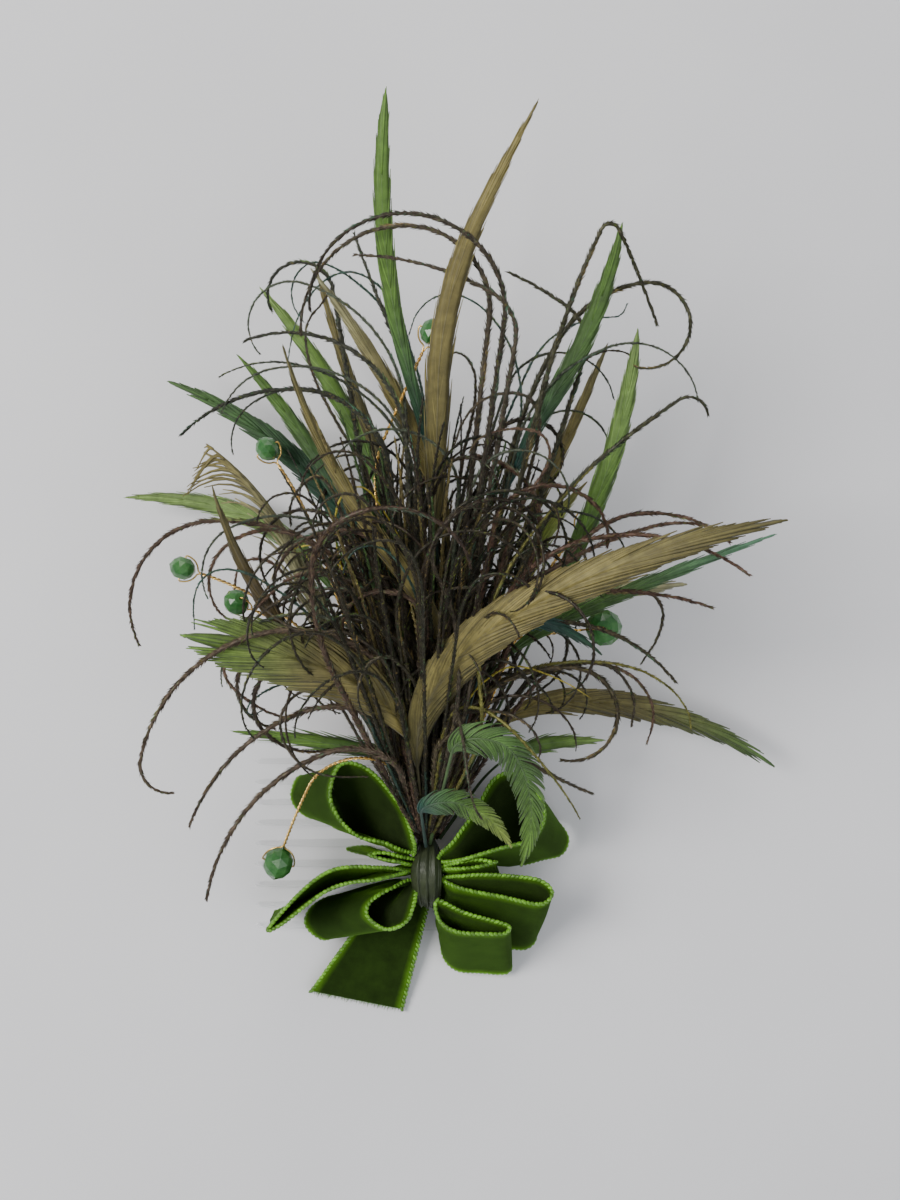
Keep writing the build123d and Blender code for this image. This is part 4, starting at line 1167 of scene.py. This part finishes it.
def wall(spec, rim, rows, seed):
    """Points of a ribbon loop's outer surface, rows down from its upper edge."""
    lean = np.array(spec["lean"], float)
    drop = math.sqrt(RIBBON_WIDTH**2 - lean @ lean)
    t = np.linspace(0, 1, rows)[:, None]
    to_knot = np.linalg.norm(rim - KNOT_CENTRE[:2], axis=1)
    give = ease(to_knot, 2.0, 7.0)
    inward = np.zeros_like(rim)
    if "fold" in spec:
        inward = spec["close"] * (np.array(spec["fold"]) - rim)
    if "crease" in spec:
        near, far = np.array(spec["crease"])
        share = np.clip((rim - near) @ (far - near) / ((far - near) @ (far - near)), 0, 1)
        inward = spec["close"] * (near + share[:, None] * (far - near) - rim)
    x = rim[:, 0] + t * (lean[0] + inward[:, 0]) * give
    y = rim[:, 1] + t * (lean[1] + inward[:, 1]) * give
    r = np.hypot(x - KNOT_CENTRE[0], y - KNOT_CENTRE[1])
    top = np.minimum(spec["top"], np.interp(r, PINCH_RADII, PINCH_TOPS))
    foot = np.maximum(spec["top"] - drop, np.interp(r, PINCH_FEET_RADII, PINCH_FEET))
    z = top + (foot - top) * t
    rng = np.random.default_rng(seed)
    tangent = unit(np.roll(rim, -1, axis=0) - np.roll(rim, 1, axis=0))
    push = 0.55 * np.exp(-((to_knot - 3) / 4.5) ** 2) * np.sin(2 * math.pi * (2.6 * t + 0.3 * seed))
    soft = 0.0
    around = 2 * math.pi * np.arange(len(rim)) / len(rim)
    for k in (2, 3, 5):
        phase = rng.uniform(0, 2 * math.pi, 2)
        soft = soft + (0.28 / k) * np.sin(k * around + phase[0]) * np.cos(math.pi * k * 0.5 * t + phase[1])
    push = push + soft * give
    return np.stack([x + push * tangent[:, 1], y - push * tangent[:, 0], z], axis=-1)


def picots(skin, edge, out, closed, rng):
    """A row of slanted satin stitches along an edge."""
    if closed:
        even = evenly(np.vstack([edge, edge[:1]]), PICOT_STEP)[:-1]
        along = unit(np.roll(even, -1, axis=0) - np.roll(even, 1, axis=0))
    else:
        even = evenly(edge, PICOT_STEP)
        along = unit(np.gradient(even, axis=0))
    out = out[np.argmin(np.linalg.norm(even[:, None] - edge[None], axis=2), axis=1)]
    flat = unit(np.cross(along, out))
    slant = unit(along * 0.75 + out * 0.55)
    steps = np.array([-1.0, -0.62, 0.0, 0.62, 1.0])
    length = 0.78 * (0.85 + 0.3 * rng.random(len(even)))
    paths = even[:, None] + slant[:, None] * (steps[None] * length[:, None])[..., None]
    across = np.broadcast_to(flat[:, None], paths.shape)
    up = np.broadcast_to(np.cross(slant, flat)[:, None], paths.shape)
    wide = np.broadcast_to(0.5 * np.sqrt(np.maximum(0.03, 1 - steps**2)), paths.shape[:2])
    shape, faces = sweep(paths, across, up, wide, wide * 0.9, ROUND)
    shade = LIME_EDGE * (0.55 + 0.9 * rng.random(len(even)))[:, None]
    skin.add(shape, faces, np.repeat(shade, len(steps) * len(ROUND), axis=0))


def both_picots(skin, middle, closed, rng):
    """Stitches along both long edges of a ribbon."""
    for row, beyond in ((0, 1), (-1, -2)):
        picots(skin, middle[row], unit(middle[row] - middle[beyond]), closed, rng)


def ribbon_skin(outer, inner, closed, edge_rows):
    """A ribbon with velvet outside, a plain back and satin edges."""
    rows, columns = outer.shape[:2]
    skin = Skin()
    index = np.arange(rows * columns).reshape(rows, columns)
    follow = np.roll(index, -1, axis=1) if closed else index[:, 1:]
    now = index if closed else index[:, :-1]
    front = np.stack([now[:-1], now[1:], follow[1:], follow[:-1]], axis=-1).reshape(-1, 4)
    back = front[:, ::-1] + index.size
    strips = [(now[0], follow[0], 1), (now[-1], follow[-1], -1)]
    if not closed:
        strips += [(index[:-1, 0], index[1:, 0], -1), (index[:-1, -1], index[1:, -1], 1)]
    ends = [np.stack([a, b, b + index.size, a + index.size], axis=-1)[:, ::turn] for a, b, turn in strips]
    t = np.arange(rows)
    border = np.clip(1 - np.minimum(t, rows - 1 - t) / edge_rows, 0, 1) ** 0.5
    face_tint = VELVET_FACE + (LIME_EDGE * 0.55 - VELVET_FACE) * border[:, None]
    back_tint = VELVET_BACK + (LIME_EDGE * 0.4 - VELVET_BACK) * border[:, None]
    tints = np.vstack([np.repeat(face_tint, columns, axis=0), np.repeat(back_tint, columns, axis=0)])
    skin.add(np.vstack([outer.reshape(-1, 3), inner.reshape(-1, 3)]), [front, back, *ends], tints)
    return skin


def ribbon_loops():
    for number, (name, spec) in enumerate({**RIBBON_LOOPS, **RIBBON_FOLDS}.items()):
        rim = rim_curve(spec["rim"], LOOP_COLUMNS)
        outer = wall(spec, rim, RIBBON_ROWS, number + 1)
        along = np.roll(outer, -1, axis=1) - np.roll(outer, 1, axis=1)
        normal = unit(np.cross(along, np.gradient(outer, axis=0)))
        half = outer[RIBBON_ROWS // 2, :, :2]
        outwards = (normal[RIBBON_ROWS // 2, :, :2] * (half - half.mean(0))).sum() > 0
        inner = outer - (1 if outwards else -1) * normal * RIBBON_THICKNESS
        piece = ribbon_skin(outer, inner, True, BORDER_ROWS).make(
            name.replace("ribbon", "velvet"), VELVET, "moss_velvet")
        fix_normals(piece)
        trim = Skin()
        both_picots(trim, (outer + inner) / 2, True, np.random.default_rng(PICOT_SEED + number))
        edging = trim.make(
            name.replace("ribbon_loop", "picot").replace("ribbon", "picot"), SATIN, "moss_velvet")
        if name in RIBBON_LOOPS:
            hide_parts(name)


def fix_normals(piece):
    """Turns the faces of a closed piece outwards."""
    work = bmesh.new()
    work.from_mesh(piece.data)
    bmesh.ops.recalc_face_normals(work, faces=work.faces)
    work.to_mesh(piece.data)
    work.free()


def ribbon_tail():
    across = np.linspace(0, 1, RIBBON_ROWS)[:, None, None]
    down = np.linspace(0, 1, TAIL_COLUMNS)[None, :, None]
    a, b, c, d = TAIL_CORNERS
    outer = (1 - down) * ((1 - across) * a + across * b) + down * ((1 - across) * c + across * d)
    wave = 0.5 * np.sin(2.2 * math.pi * down[..., 0] + 0.6) * np.sin(math.pi * across[..., 0] + 0.4)
    outer[..., 2] += wave * np.sin(math.pi * down[..., 0]) + 0.35
    inner = outer - np.array([0, 0, TAIL_THICKNESS])
    piece = ribbon_skin(outer, inner, False, BORDER_ROWS).make("velvet_tail", VELVET, "moss_velvet")
    fix_normals(piece)
    rng = np.random.default_rng(TAIL_SEED)
    trim = Skin()
    middle = (outer + inner) / 2
    both_picots(trim, middle, False, rng)
    end = evenly(middle[:, -1], 0.16)
    away = unit(middle[:, -1].mean(0) - middle[:, -3].mean(0))
    ways = unit(away + rng.normal(0, 0.22, (len(end), 3)) * [1, 1, 0.6])
    shape, faces = spikes(end - away * 0.3, ways, 0.7 + 1.1 * rng.random(len(end)), 0.12)
    shade = LIME_EDGE * (0.6 + 0.6 * rng.random(len(end)))[:, None]
    trim.add(shape, faces, np.repeat(shade, 4, axis=0))
    edging = trim.make("picot_tail", SATIN, "moss_velvet")
    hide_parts("ribbon_tail")


# ---------------- knot
def knot():
    """Pleated tape wound over the middle of the bow, and what fills it."""
    angle = 2 * math.pi * np.arange(KNOT_COLUMNS) / KNOT_COLUMNS
    v = np.linspace(-1, 1, KNOT_ROWS)
    pleats = 0.5 * np.cos(3.4 * math.pi * v + 0.5) + 0.2 * np.cos(7.1 * math.pi * v)
    narrow = 1 - 0.5 * np.maximum(np.cos(angle), 0) ** 2 - 0.3 * np.maximum(-np.cos(angle), 0) ** 2
    shape = np.zeros((KNOT_ROWS, KNOT_COLUMNS, 3))
    for k in range(KNOT_ROWS):
        wander = 0.22 * np.sin(2 * angle + 3 * v[k]) + 0.12 * np.sin(5 * angle + 2)
        swell = (1 - 0.16 * abs(v[k]) ** 3) + (pleats[k] + wander) * 0.055
        shape[k, :, 0] = KNOT_CENTRE[0] + KNOT_WIDTH / 2 * v[k] * narrow + 0.15 * np.sin(3 * angle)
        shape[k, :, 1] = KNOT_CENTRE[1] + KNOT_LENGTH / 2 * np.cos(angle) * swell
        shape[k, :, 2] = KNOT_CENTRE[2] + KNOT_HEIGHT / 2 * np.sin(angle) * swell
    along = np.roll(shape, -1, axis=1) - np.roll(shape, 1, axis=1)
    normal = unit(np.cross(along, np.gradient(shape, axis=0)))
    outwards = (normal * (shape - KNOT_CENTRE)).sum()
    normal = normal if outwards > 0 else -normal
    band = ribbon_skin(shape, shape - normal * TAPE_THICKNESS, True, 2.0).make(
        "knot_band", TAPE, "olive_tape")
    fix_normals(band)
    crumple = shape * 0.86 + KNOT_CENTRE * 0.14
    crumple[..., 0] += 0.25 * np.random.default_rng(KNOT_SEED).normal(size=(KNOT_ROWS, KNOT_COLUMNS))
    whole = KNOT_ROWS * KNOT_COLUMNS
    index = np.arange(whole).reshape(KNOT_ROWS, KNOT_COLUMNS)
    follow = np.roll(index, -1, axis=1)
    sides = np.stack([index[:-1], index[1:], follow[1:], follow[:-1]], axis=-1).reshape(-1, 4)
    ends = np.array([(KNOT_CENTRE[0] + s * KNOT_WIDTH * 0.42, *KNOT_CENTRE[1:]) for s in (-1, 1)])
    first = np.stack([index[0], follow[0], np.full(KNOT_COLUMNS, whole)], axis=-1)
    last = np.stack([follow[-1], index[-1], np.full(KNOT_COLUMNS, whole + 1)], axis=-1)
    core = Skin()
    core.add(np.vstack([crumple.reshape(-1, 3), ends]), [sides, first, last], (1, 1, 1))
    filling = core.make("knot_filling", TAPE, "olive_tape")
    fix_normals(filling)
    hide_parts("knot")


studio()
knot()
refinish("comb", PLASTIC)
refinish("comb_binding", WIRE)
ribbon_loops()
ribbon_tail()
stems()
for number, (name, spec) in enumerate(FEATHERS.items()):
    feather(name, spec, number)
herls()
curls()
bead_wires()
